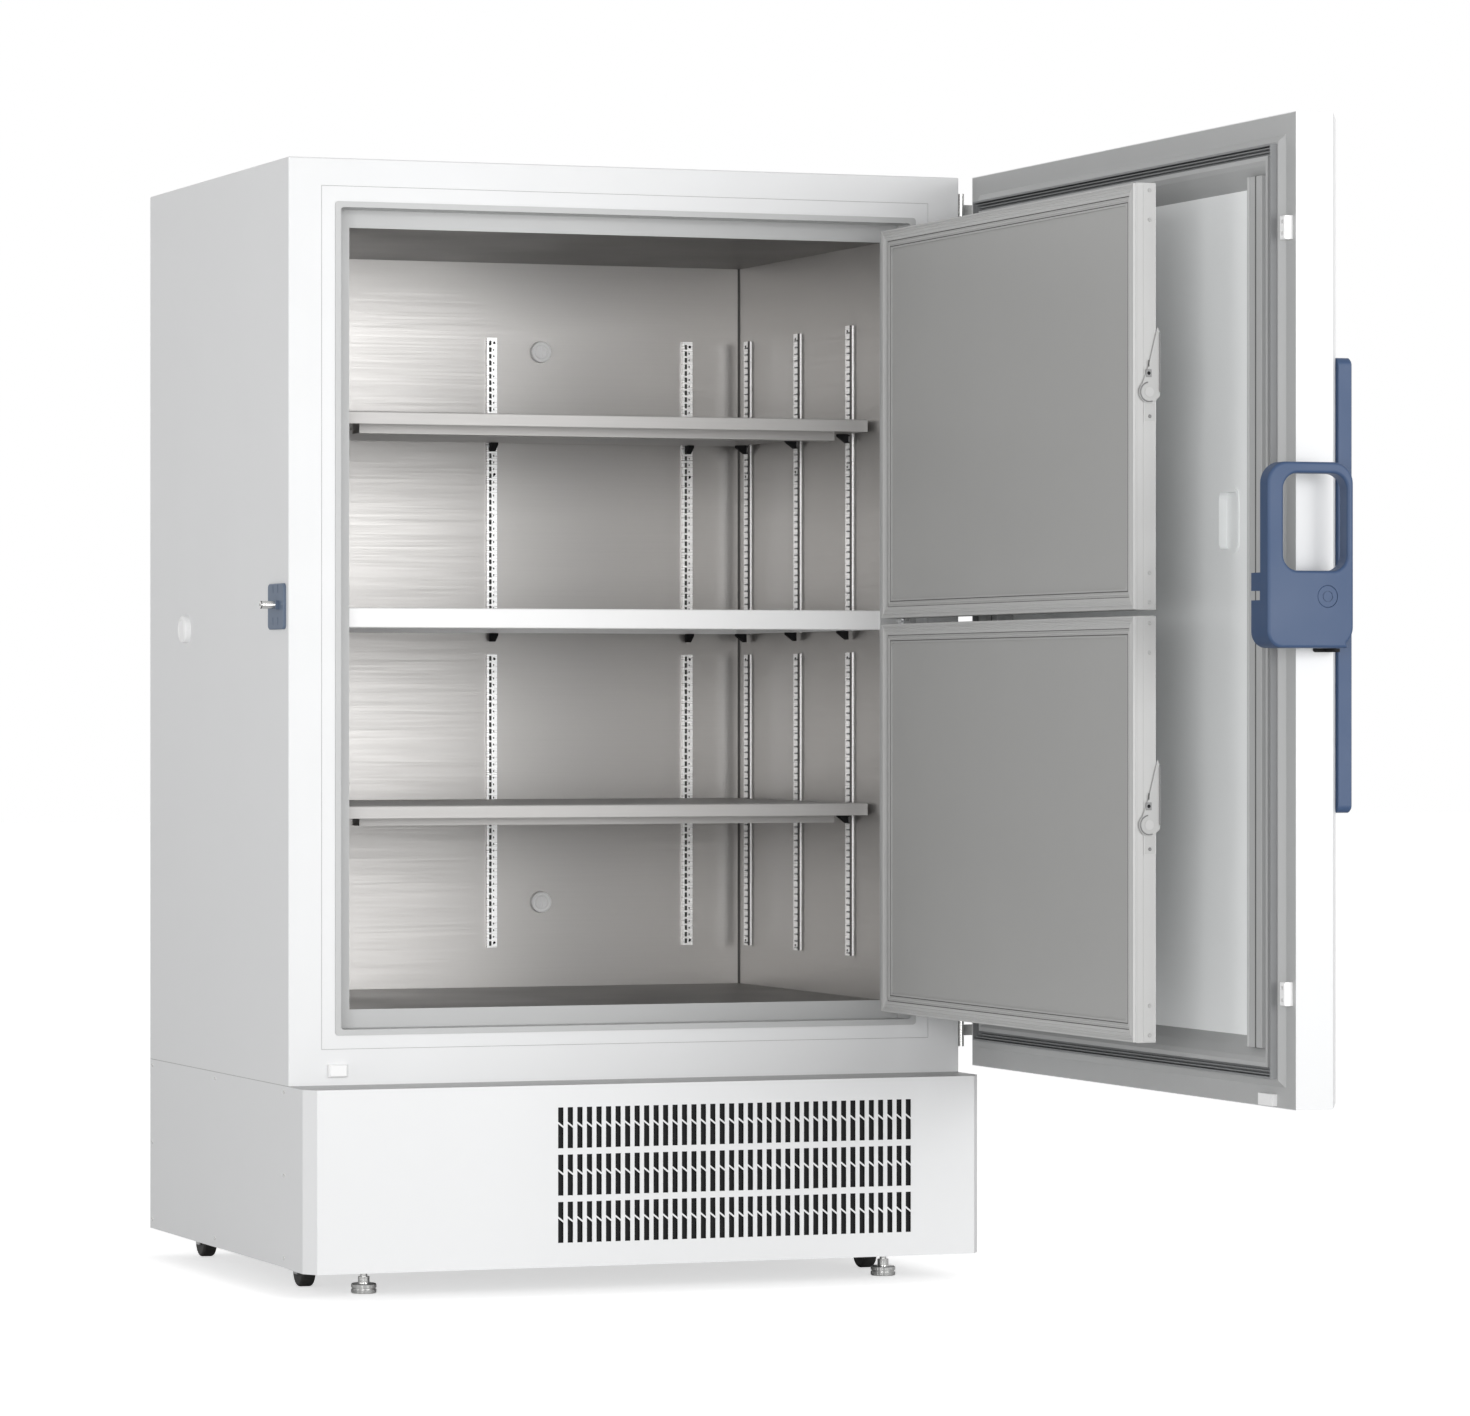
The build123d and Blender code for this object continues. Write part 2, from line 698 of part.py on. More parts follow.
write(base_panels, "base_panels")

# Deep front cover: bevelled at both ends, with three rows of slots
grille_left = -175.5
grille_inset = 141.0
grille_low_margin = 41.0
grille_top_margin = 39.0
grille_rows = 3
slots_per_row = 38
slot_width = 10.0
row_gap = 11.0
bar_width = 3.5
bar_height_share = 0.6
bar_fall_share = 0.11
grille_right = half_width - grille_inset
grille_low = base_bottom + grille_low_margin
grille_high = base_top - grille_top_margin
slot_pitch = (grille_right - grille_left - slot_width) / (slots_per_row - 1)
slot_height = (grille_high - grille_low - (grille_rows - 1) * row_gap) / grille_rows
cover_low = base_bottom - skin
cover_front = front_y - cover_depth

with BuildPart() as front_cover:
    with BuildSketch(level(cover_low)):
        with BuildLine():
            Polyline(
                (-half_width, front_y),
                (-half_width, cover_front + cover_bevel_depth),
                (cover_bevel_width - half_width, cover_front),
                (half_width - cover_bevel_width, cover_front),
                (half_width, cover_front + cover_bevel_depth),
                (half_width, front_y),
                close=True,
            )
        make_face()
    extrude(amount=base_top - cover_low)
    fillet(front_cover.edges().filter_by(Axis.Z).group_by(Axis.Y)[0], bend_radius)
    offset(amount=-skin, openings=front_cover.faces().sort_by(Axis.Y)[-1])
    bar_left = bar_height_share * slot_height - slot_height / 2
    bar_right = bar_left - bar_fall_share * slot_height
    half_slot = slot_width / 2
    below_bar = (
        (-half_slot, -slot_height / 2),
        (half_slot, -slot_height / 2),
        (half_slot, bar_right),
        (-half_slot, bar_left),
    )
    above_bar = (
        (-half_slot, bar_left + bar_width),
        (half_slot, bar_right + bar_width),
        (half_slot, slot_height / 2),
        (-half_slot, slot_height / 2),
    )
    with BuildSketch(front_plane(cover_front - overrun)):
        with Locations(((grille_left + grille_right) / 2, (grille_low + grille_high) / 2)):
            with GridLocations(slot_pitch, slot_height + row_gap, slots_per_row, grille_rows):
                Polygon(*below_bar, align=None)
                Polygon(*above_bar, align=None)
    extrude(amount=-skin - 2 * overrun, mode=Mode.SUBTRACT)
write(front_cover, "front_cover")

# Air filter behind the grille, held in a shallow frame
filter_margin = 14.0
filter_thickness = 12.0
filter_frame = 10.0
grille_window = (grille_left, grille_right, grille_low, grille_high)
filter_window = inset(grille_window, -filter_margin)

with BuildPart() as air_filter:
    filter_front = front_plane(cover_front + skin)
    ring(filter_front, filter_window, inset(filter_window, filter_frame), -filter_thickness)
    mat_front = front_plane(cover_front + skin + filter_thickness / 3)
    slab(mat_front, *filter_window, filter_thickness / 3 - filter_thickness)
write(air_filter, "air_filter")

# Condenser: end plates, fins and the tubes that cross them
fin_count = 14
fin_sheet = 1.0
condenser_depth = 60.0
condenser_inset = 8.0
condenser_y = front_y + condenser_inset
tube_radius = 5.0
tube_columns = 2
tube_rows = 3
machine_floor = tray_level + frame_sheet
condenser_drop = 23.0
condenser_top = base_top - condenser_drop
condenser_left = grille_left
condenser_end = 45.0
condenser_right = grille_right - condenser_end
fin_pitch = (condenser_right - condenser_left - fin_sheet) / (fin_count - 1)

with BuildPart() as condenser:
    fin_outline = (condenser_y, condenser_y + condenser_depth, machine_floor, condenser_top)
    for fin in range(fin_count):
        slab(side_plane(condenser_left + fin * fin_pitch), *fin_outline, fin_sheet)
    tube_pitch = (condenser_top - machine_floor) / tube_rows
    with BuildSketch(side_plane(condenser_left - 2 * tube_radius)):
        with Locations((condenser_y + condenser_depth / 2, (machine_floor + condenser_top) / 2)):
            with GridLocations(condenser_depth / 2, tube_pitch, tube_columns, tube_rows):
                Circle(tube_radius)
    extrude(amount=condenser_right - condenser_left + 4 * tube_radius)
write(condenser, "condenser")

# Fan: shroud, motor on its spider, and blades
shroud_gap = 2.0
shroud_y = condenser_y + condenser_depth + shroud_gap
shroud_depth = 40.0
fan_x = (condenser_left + condenser_right) / 2
fan_z = (machine_floor + condenser_top) / 2
fan_margin = 26.0
fan_radius = (condenser_top - machine_floor) / 2 - fan_margin
fan_clearance = 6.0
motor_radius = 38.0
motor_length = 70.0
spider_width = 14.0
spider_overlap = 24.0
spider_thickness = 4.0
shaft_radius = 4.0
shaft_length = 46.0
hub_radius = 24.0
hub_length = 22.0
blade_count = 5
blade_thickness = 2.5
blade_chord = 38.0
blade_twist = 28.0
spider_y = shroud_y + shroud_depth
shroud_window = (condenser_left, condenser_right, machine_floor, condenser_top)

with BuildPart() as fan_shroud:
    slab(front_plane(shroud_y), *shroud_window, -shroud_depth)
    hollow_window = inset(shroud_window, frame_sheet)
    hollow_depth = shroud_depth - frame_sheet
    slab(front_plane(shroud_y - overrun), *hollow_window, -hollow_depth - overrun, mode=Mode.SUBTRACT)
    with BuildSketch(front_plane(shroud_y)):
        with Locations((fan_x, fan_z)):
            Circle(fan_radius + fan_clearance)
    extrude(amount=-shroud_depth - overrun, mode=Mode.SUBTRACT)
write(fan_shroud, "fan_shroud")

with BuildPart() as fan_motor:
    with BuildSketch(front_plane(spider_y)):
        with Locations((fan_x, fan_z)):
            Rectangle(2 * (fan_radius + spider_overlap), spider_width)
            Rectangle(spider_width, 2 * (fan_radius + spider_overlap))
            Circle(motor_radius)
    extrude(amount=-spider_thickness)
    with BuildSketch(front_plane(spider_y)):
        with Locations((fan_x, fan_z)):
            Circle(motor_radius)
    extrude(amount=-motor_length)
    fillet(fan_motor.edges().group_by(Axis.Y)[-1], motor_radius / 6)
    with BuildSketch(front_plane(spider_y)):
        with Locations((fan_x, fan_z)):
            Circle(shaft_radius)
    extrude(amount=shaft_length)
write(fan_motor, "fan_motor")

with BuildPart() as fan_blades:
    hub_back = spider_y - shroud_depth / 3
    with BuildSketch(front_plane(hub_back)):
        with Locations((fan_x, fan_z)):
            Circle(hub_radius)
    extrude(amount=hub_length)
    blade_y = hub_back - hub_length / 2
    for n in range(blade_count):
        turn = Rotation(0, n * 360 / blade_count, 0) * Rotation(0, 0, blade_twist)
        with BuildSketch(Plane(Location((fan_x, blade_y, fan_z)) * turn)):
            RectangleRounded(blade_chord, blade_thickness, blade_thickness / 3)
        extrude(amount=fan_radius)
    with BuildSketch(front_plane(hub_back + overrun)):
        with Locations((fan_x, fan_z)):
            Circle(shaft_radius + running_fit)
    extrude(amount=hub_length + 2 * overrun, mode=Mode.SUBTRACT)
write(fan_blades, "fan_blades")

# Two compressors: welded shells on base plates with rubber feet
compressor_radius = 82.0
compressor_height = 190.0
compressor_lift = 22.0
compressor_plate = 4.0
compressor_y = 60.0
first_x = -150.0
second_x = 230.0
compressor_places = (("first_stage_compressor", first_x), ("second_stage_compressor", second_x))
grommet_radius = 14.0
grommet_pitch = 150.0
shell_seam = 4.0
seam_share = 0.6
foot_share = 0.15
dome_share = 0.8
terminal_width = 44.0


def compressor(x):
    """A domed shell with a weld seam, on a flat foot plate, with a terminal cover at the front."""
    foot = machine_floor + compressor_lift
    with BuildPart() as shell:
        post((x, compressor_y), foot, foot + seam_share * compressor_height, compressor_radius)
        fillet(shell.edges().group_by(Axis.Z)[0], foot_share * compressor_radius)
        dome_radius = compressor_radius - shell_seam
        post((x, compressor_y), foot + compressor_plate, foot + compressor_height, dome_radius)
        fillet(shell.edges().group_by(Axis.Z)[-1], dome_share * compressor_radius)
        slab(
            level(foot - compressor_plate),
            x - grommet_pitch / 2 - grommet_radius,
            x + grommet_pitch / 2 + grommet_radius,
            compressor_y - grommet_pitch / 2 - grommet_radius,
            compressor_y + grommet_pitch / 2 + grommet_radius,
            compressor_plate,
            corner=grommet_radius,
        )
        slab(
            level(foot + compressor_height / 4),
            x - terminal_width / 2,
            x + terminal_width / 2,
            compressor_y - compressor_radius - terminal_width / 4,
            compressor_y,
            terminal_width,
        )
    return shell


for name, x in compressor_places:
    write(compressor(x), name)

with BuildPart() as compressor_mounts:
    mount_height = compressor_lift - compressor_plate
    with BuildSketch(level(machine_floor)):
        for name, x in compressor_places:
            with Locations((x, compressor_y)):
                with GridLocations(grommet_pitch, grommet_pitch, 2, 2):
                    Circle(grommet_radius)
    extrude(amount=mount_height)
    chamfer(compressor_mounts.edges().group_by(Axis.Z)[-1], mount_height / 6)
write(compressor_mounts, "compressor_mounts")

# Cascade heat exchanger, oil separator and the pipes of the two circuits
exchanger_radius = 55.0
exchanger_height = 230.0
exchanger_inset = 193.0
exchanger_rear_inset = 171.0
exchanger_round_share = 0.25
separator_radius = 32.0
separator_height = 170.0
separator_inset = 203.0
separator_rear_inset = 241.0
separator_round_share = 0.4
pipe_radius = 5.0
pipe_bend = 26.0
pipe_bend_share = 0.9
pipe_drop = 37.0
exchanger_x = exchanger_inset - half_width
exchanger_y = back_y - exchanger_rear_inset
separator_x = half_width - separator_inset
separator_y = back_y - separator_rear_inset
pipe_level = base_top - pipe_drop

with BuildPart() as heat_exchanger:
    post((exchanger_x, exchanger_y), machine_floor, machine_floor + exchanger_height, exchanger_radius)
    fillet(heat_exchanger.edges().filter_by(GeomType.CIRCLE), exchanger_round_share * exchanger_radius)
write(heat_exchanger, "heat_exchanger")

exchanger_top = machine_floor + exchanger_height
separator_top = machine_floor + separator_height
shell_top = machine_floor + compressor_lift + compressor_height
pipe_routes = (
    (
        (first_x, compressor_y, shell_top),
        (first_x, compressor_y, pipe_level),
        (exchanger_x, compressor_y, pipe_level),
        (exchanger_x, exchanger_y, pipe_level),
        (exchanger_x, exchanger_y, exchanger_top),
    ),
    (
        (second_x, compressor_y, shell_top),
        (second_x, compressor_y, pipe_level),
        (separator_x, compressor_y, pipe_level),
        (separator_x, separator_y, pipe_level),
        (separator_x, separator_y, separator_top),
    ),
)

with BuildPart() as refrigerant_pipes:
    post((separator_x, separator_y), machine_floor, separator_top, separator_radius)
    fillet(refrigerant_pipes.edges().filter_by(GeomType.CIRCLE), separator_round_share * separator_radius)
    for corners in pipe_routes:
        last_rise = pipe_level - corners[-1][2]
        first_rise = pipe_level - corners[0][2]
        bend = min(pipe_bend, first_rise * pipe_bend_share, last_rise * pipe_bend_share)
        with BuildLine() as route:
            FilletPolyline(*corners, radius=bend)
        with BuildSketch(Plane(corners[0])):
            Circle(pipe_radius)
        sweep()
write(refrigerant_pipes, "refrigerant_pipes")

# Control box behind the left of the cover
box_inset = 133.0
box_gap = 104.5
box_setback = 90.0
box_front = front_y + box_setback
box_depth = 150.0
box_height = 200.0
box_corner = 8.0
box_left = box_inset - half_width
box_right = condenser_left - box_gap

with BuildPart() as control_box:
    slab(level(machine_floor), box_left, box_right, box_front, box_front + box_depth, box_height)
    fillet(control_box.edges().filter_by(Axis.Z), box_corner)
    chamfer(control_box.edges().group_by(Axis.Z)[-1], box_corner / 3)
write(control_box, "control_box")

# Casters: swivelling forks under the tray, each with one wheel
wheel_width = 26.0
wheel_bore = 4.0
fork_gap = 1.2
fork_sheet = 3.0
caster_offset = 14.0
bearing_radius = 20.0
bearing_height = 7.0
kingpin_head = 9.0
bearing_gap = 0.3
fork_half = wheel_width / 2 + fork_gap
fork_top = tray_level - bearing_gap - bearing_height
caster_names = ("front_left", "front_right", "rear_left", "rear_right")

for name, (x, y) in zip(caster_names, caster_centers):
    axle_y = y + caster_offset
    with BuildPart() as fork:
        post((x, y), fork_top, fork_top + bearing_height, bearing_radius)
        post((x, y), fork_top, tray_level + frame_sheet + bearing_gap, kingpin_radius)
        post((x, y), tray_level + frame_sheet + bearing_gap, tray_level + 2 * frame_sheet, kingpin_head)
        for low in (-fork_half - fork_sheet, fork_half):
            with BuildSketch(side_plane(x + low)):
                with BuildLine():
                    Polyline(
                        (y - bearing_radius, fork_top),
                        (axle_y - wheel_radius / 3, wheel_radius - wheel_radius / 4),
                        (axle_y + wheel_radius / 3, wheel_radius - wheel_radius / 4),
                        (axle_y + wheel_radius / 3, fork_top),
                        close=True,
                    )
                make_face()
            extrude(amount=fork_sheet)
        slab(
            level(fork_top - fork_sheet),
            x - fork_half - fork_sheet,
            x + fork_half + fork_sheet,
            y - bearing_radius,
            axle_y + wheel_radius / 3,
            fork_sheet,
        )
        with BuildSketch(side_plane(x - fork_half - fork_sheet)):
            with Locations((axle_y, wheel_radius)):
                Circle(wheel_bore)
        extrude(amount=2 * (fork_half + fork_sheet))
    write(fork, f"caster_fork_{name}")
    with BuildPart() as wheel:
        with BuildSketch(side_plane(x - wheel_width / 2)):
            with Locations((axle_y, wheel_radius)):
                Circle(wheel_radius)
        extrude(amount=wheel_width)
        fillet(wheel.edges().filter_by(GeomType.CIRCLE), wheel_radius / 6)
        with BuildSketch(side_plane(x - wheel_width / 2 - overrun)):
            with Locations((axle_y, wheel_radius)):
                Circle(wheel_bore + running_fit)
        extrude(amount=wheel_width + 2 * overrun, mode=Mode.SUBTRACT)
    write(wheel, f"caster_wheel_{name}")

# Levelling feet: knurled disc, boss and threaded stem through the tray
disc_radius = 22.0
disc_height = 17.5
disc_groove = 1.5
boss_radius = 10.0
boss_height = 12.0
stem_rise = 45.0
stem_top = tray_level + stem_rise

for name, center in zip(("left", "right"), foot_centers):
    with BuildPart() as foot:
        post(center, 0, disc_height, disc_radius)
        chamfer(foot.edges().filter_by(GeomType.CIRCLE), disc_groove)
        post(center, disc_height, disc_height + boss_height, boss_radius)
        post(center, disc_height, stem_top, stem_radius)
        ring_low = disc_height / 2 - disc_groove
        with BuildSketch(level(ring_low)):
            with Locations(center):
                Circle(disc_radius + overrun)
                Circle(disc_radius - disc_groove, mode=Mode.SUBTRACT)
        extrude(amount=2 * disc_groove, mode=Mode.SUBTRACT)
    write(foot, f"levelling_foot_{name}")

# Outer door: painted skin folded round all four edges, bevelled at the front
door_window = (door_heel, door_toe, door_low, cabinet_height)
door_bevel = 10.0

with BuildPart() as door_skin:
    slab(door_plane(0), *door_window, -door_thickness)
    chamfer(door_skin.faces().sort_by(Axis.X)[-1].edges(), door_bevel)
    offset(amount=-skin, openings=door_skin.faces().sort_by(Axis.X)[0])
write(door_skin, "door_skin")

# Inner frame of the outer door: flat border, ramp, gasket floor, dam, and the slope to the pan
frame_border = 34.0
ramp_end = 45.0
ramp_height = 9.0
gasket_start = 48.0
gasket_end = 66.0
dam_height = 17.0
dam_flat_end = 73.0
dam_end = 81.0
dam_low = 13.0
slope_break = 95.0
slope_height = 1.0
pan_edge = 110.0
pan_depth = 15.0
frame_wall = 1.5
pan_back = pan_depth + frame_wall


def swept_ring(plane, frame, section_points):
    """Sweeps a section round a window of an open door's plane, with mitred corners.

    The section's points are (inset from the window's edge, height inward of the plane).
    """
    x_low, x_high, y_low, y_high = frame
    middle = (y_low + y_high) / 2
    with BuildLine(plane) as route:
        corners = ((x_low, y_high), (x_high, y_high), (x_high, y_low), (x_low, y_low))
        Polyline((x_low, middle), *corners, close=True)
    start = plane.from_local_coords((x_low, middle, 0))
    with BuildSketch(Plane(start, x_dir=(0, -1, 0), z_dir=(0, 0, -1))) as section:
        with BuildLine():
            Polyline(*section_points, close=True)
        make_face()
    sweep(section.sketch, path=route.line, transition=Transition.RIGHT)


with BuildPart() as door_inner_frame:
    frame_section = (
        (skin, 0),
        (frame_border, 0),
        (ramp_end, ramp_height),
        (gasket_start, ramp_height),
        (gasket_start, 0),
        (gasket_end, 0),
        (gasket_end, dam_height),
        (dam_flat_end, dam_height),
        (dam_end, dam_low),
        (slope_break, slope_height),
        (pan_edge, -pan_depth),
        (pan_edge, -pan_back),
        (slope_break - frame_wall, -frame_wall),
        (skin, -frame_wall),
    )
    swept_ring(door_plane(0), door_window, frame_section)
write(door_inner_frame, "door_inner_frame")

# Pan inside the frame, with a small pull cup pressed into it
pan_window = inset(door_window, pan_edge)
cup_inset = 235.7
cup_width = 68.0
cup_low = 1284.0
cup_height = 97.0
cup_corner = 12.0
cup_depth = 14.0
cup_rim = 5.0
cup_window = (door_toe - cup_inset - cup_width, door_toe - cup_inset, cup_low, cup_low + cup_height)

with BuildPart() as door_pan:
    slab(door_plane(-pan_depth), *pan_window, -frame_wall)
    rim_corner = cup_corner + cup_rim
    slab(door_plane(-pan_depth), *inset(cup_window, -cup_rim), frame_wall, rim_corner)
    slab(door_plane(-pan_depth), *cup_window, -cup_depth, cup_corner)
    hollow = inset(cup_window, frame_wall)
    hollow_corner = cup_corner - frame_wall
    rim_top = door_plane(2 * frame_wall - pan_depth)
    slab(rim_top, *hollow, -frame_wall - cup_depth, hollow_corner, Mode.SUBTRACT)
write(door_pan, "door_pan")

# Foam of the outer door, behind the frame and the pan
with BuildPart() as door_foam:
    filling = inset(door_window, skin)
    slab(door_plane(-pan_back), *filling, pan_back + skin - door_thickness)
    chamfer(door_foam.faces().sort_by(Axis.X)[-1].edges(), door_bevel)
    ring(door_plane(-frame_wall), filling, inset(door_window, slope_break - frame_wall), -pan_depth)
    pocket = inset(cup_window, -seat_gap)
    pocket_depth = cup_depth + seat_gap
    slab(door_plane(-pan_depth), *pocket, -pocket_depth, cup_corner, Mode.SUBTRACT)
write(door_foam, "door_foam")

# Gasket of the outer door: a magnet body and three lips, the outer one tallest
gasket_body = 6.0
lip_width = 3.0
lip_pitch = 5.0
short_lip = 14.0
lip_top_share = 0.5
door_gasket_reach = door_gap - seat_gap
door_gasket_low = gasket_start + seat_gap
door_gasket_high = gasket_end - seat_gap


def lipped_section(low, high, body, reach, shorter, width, pitch):
    """Section of a gasket between two insets: a flat body with one tall lip and two shorter lips."""
    second = low + pitch
    third = low + 2 * pitch
    slope = (width - lip_top_share * width) / 2
    return (
        (low, 0),
        (high, 0),
        (high, body),
        (third + width, body),
        (third + width - slope, shorter),
        (third + slope, shorter),
        (third, body),
        (second + width, body),
        (second + width - slope, (shorter + reach) / 2),
        (second + slope, (shorter + reach) / 2),
        (second, body),
        (low + width, body),
        (low + width, reach),
        (low, reach),
    )


with BuildPart() as door_gasket:
    door_lips = lipped_section(
        door_gasket_low, door_gasket_high, gasket_body, door_gasket_reach, short_lip, lip_width, lip_pitch
    )
    swept_ring(door_plane(0), door_window, door_lips)
write(door_gasket, "door_gasket")

# Door side of the outer hinges: leaves on the hinge end, with the knuckles between the cabinet's
door_leaf_start = 2.0
door_leaf_end = 41.0

with BuildPart() as door_hinge_leaves:
    for start in hinge_starts:
        leaf_back = door_axis_y - door_heel
        leaf_front = leaf_back + leaf_thickness
        leaf_low = door_face_x + door_leaf_start
        leaf_high = door_face_x + door_leaf_end
        slab(level(start), leaf_low, leaf_high, leaf_back, leaf_front, hinge_height)
        for low, high in knuckle_spans(start, 1):
            slab(level(low), door_axis_x, leaf_low, leaf_back + seat_gap, leaf_front, high - low)
            post((door_axis_x, door_axis_y), low, high, hinge_radius)
            bore_radius = hinge_pin_radius + running_fit
            post((door_axis_x, door_axis_y), low - overrun, high + overrun, bore_radius, Mode.SUBTRACT)
write(door_hinge_leaves, "door_hinge_leaves")

# White blocks on the door: two tall buffers by the free edge, and a guide on the bottom border
buffer_edge = 11.0
buffer_width = 18.0
buffer_depth = 14.5
buffer_height = 38.0
buffer_low_lift = 186.0
buffer_top_drop = 185.0
buffer_levels = (door_low + buffer_low_lift, cabinet_height - buffer_top_drop)
buffer_hole = 3.5
guide_width = 50.0
guide_edge = 66.0
guide_low = 3.0
guide_height = 19.0
guide_depth = 9.0

with BuildPart() as door_blocks:
    buffer_x = door_toe - buffer_edge - buffer_width / 2
    for middle in buffer_levels:
        low = middle - buffer_height / 2
        high = middle + buffer_height / 2
        buffer_left = buffer_x - buffer_width / 2
        slab(door_plane(0), buffer_left, buffer_left + buffer_width, low, high, buffer_depth)
    guide_x = door_toe - guide_edge
    guide_z = door_low + guide_low
    slab(door_plane(0), guide_x - guide_width, guide_x, guide_z, guide_z + guide_height, guide_depth)
    chamfer(door_blocks.faces().filter_by(Axis.X).group_by(Axis.X)[0].edges(), guide_depth / 6)
    with BuildSketch(door_plane(buffer_depth)) as holes:
        for middle in buffer_levels:
            with Locations((buffer_x, middle)):
                with GridLocations(0, buffer_height / 2, 1, 2):
                    Circle(buffer_hole)
    extrude(amount=-buffer_depth / 2, mode=Mode.SUBTRACT)
write(door_blocks, "door_blocks")

# Display bezel on the front of the door, tapered at its lower end, with a blank screen and three keys
bezel_width = 150.0
bezel_depth = 25.0
bezel_low = 856.0
bezel_high = 1587.0
bezel_taper = 90.0
bezel_corner = 12.0
screen_width = 96.0
screen_low = 1335.0
screen_high = 1525.0
screen_depth = 3.0
key_size = 20.0
key_pitch = 32.0
key_level = 1285.0

with BuildPart() as display_bezel:
    bezel_left = door_toe - bezel_width
    bezel_middle = door_toe - bezel_width / 2
    with BuildSketch(side_plane(door_face_x + door_thickness)):
        with BuildLine():
            Polyline(
                (door_axis_y - door_toe, bezel_high),
                (door_axis_y - bezel_left, bezel_high),
                (door_axis_y - bezel_left, bezel_low + bezel_taper),
                (door_axis_y - bezel_left - bezel_taper, bezel_low),
                (door_axis_y - door_toe, bezel_low),
                close=True,
            )
        make_face()
    extrude(amount=bezel_depth)
    fillet(display_bezel.edges().filter_by(Axis.X), bezel_corner)
    chamfer(display_bezel.faces().sort_by(Axis.X)[-1].edges(), bezel_corner / 4)
    bezel_front = door_face_x + door_thickness + bezel_depth
    bezel_center = door_axis_y - bezel_middle
    screen_left = bezel_center - screen_width / 2
    screen_window = (screen_left, screen_left + screen_width, screen_low, screen_high)
    slab(side_plane(bezel_front), *screen_window, -screen_depth, bezel_corner / 3, Mode.SUBTRACT)
    with BuildSketch(side_plane(bezel_front)):
        with Locations((bezel_center, key_level)):
            with GridLocations(key_pitch, 0, 3, 1):
                RectangleRounded(key_size, key_size, key_size / 5)
    extrude(amount=screen_depth / 3)
write(display_bezel, "display_bezel")

with BuildPart() as display_screen:
    glass_window = inset(screen_window, seat_gap)
    slab(side_plane(bezel_front - screen_depth), *glass_window, screen_depth - seat_gap, bezel_corner / 3)
write(display_screen, "display_screen")

# Handle on the free end of the door: a base with two ears and a pin, and the loop lever that turns on it
handle_front = 67.3
handle_back = 8.3
handle_low = 1120.0
housing_top = 1240.0
loop_top = 1416.0
loop_thickness = 28.0
handle_inner = 83.7
handle_outer = 68.3
housing_outer = 57.3
pivot_outward = 59.3
pivot_reach = 17.3
pivot_radius = 3.0
barrel_radius = 9.0
ear_thickness = 5.5
ear_gap = 0.5
base_plate = 4.0
base_inward = 30.0
barrel_top = 1214.0
notch_outward = 47.0
notch_reach = 30.0
loop_corner = 34.0
hole_inner = 55.7
hole_outer = 57.3
hole_low = 1243.0
hole_high = 1398.0
hole_corner = 26.0
slot_depth = 25.0
slot_reach = 30.0
slot_half = 7.5
button_outward = 21.7
button_level = 1202.0
button_radius = 17.7
button_thickness = 9.0
button_travel = 2.5
handle_round = 5.0
housing_corner = 26.0
pivot_x = door_face_x + pivot_outward
pivot_y = door_axis_y - door_toe - pivot_reach


def handle_plane(reach):
    """A plane across the door's free end: local x is outward from its inner face, local y is up."""
    return Plane((door_face_x, door_axis_y - door_toe - reach, 0), x_dir=(1, 0, 0), z_dir=(0, -1, 0))


with BuildPart() as handle_base:
    lower_ear = handle_low - ear_gap - ear_thickness
    upper_ear = barrel_top + ear_gap
    base_window = (base_inward, door_thickness - door_bevel, lower_ear, housing_top - base_plate)
    slab(handle_plane(0), *base_window, base_plate, base_plate)
    ear_left = pivot_x - barrel_radius
    ear_right = pivot_x + barrel_radius / 2
    for low in (lower_ear, upper_ear):
        slab(level(low), ear_left, ear_right, pivot_y, pivot_y + pivot_reach, ear_thickness)
        post((pivot_x, pivot_y), low, low + ear_thickness, barrel_radius)
    post((pivot_x, pivot_y), lower_ear, upper_ear + ear_thickness, pivot_radius)
write(handle_base, "handle_base")

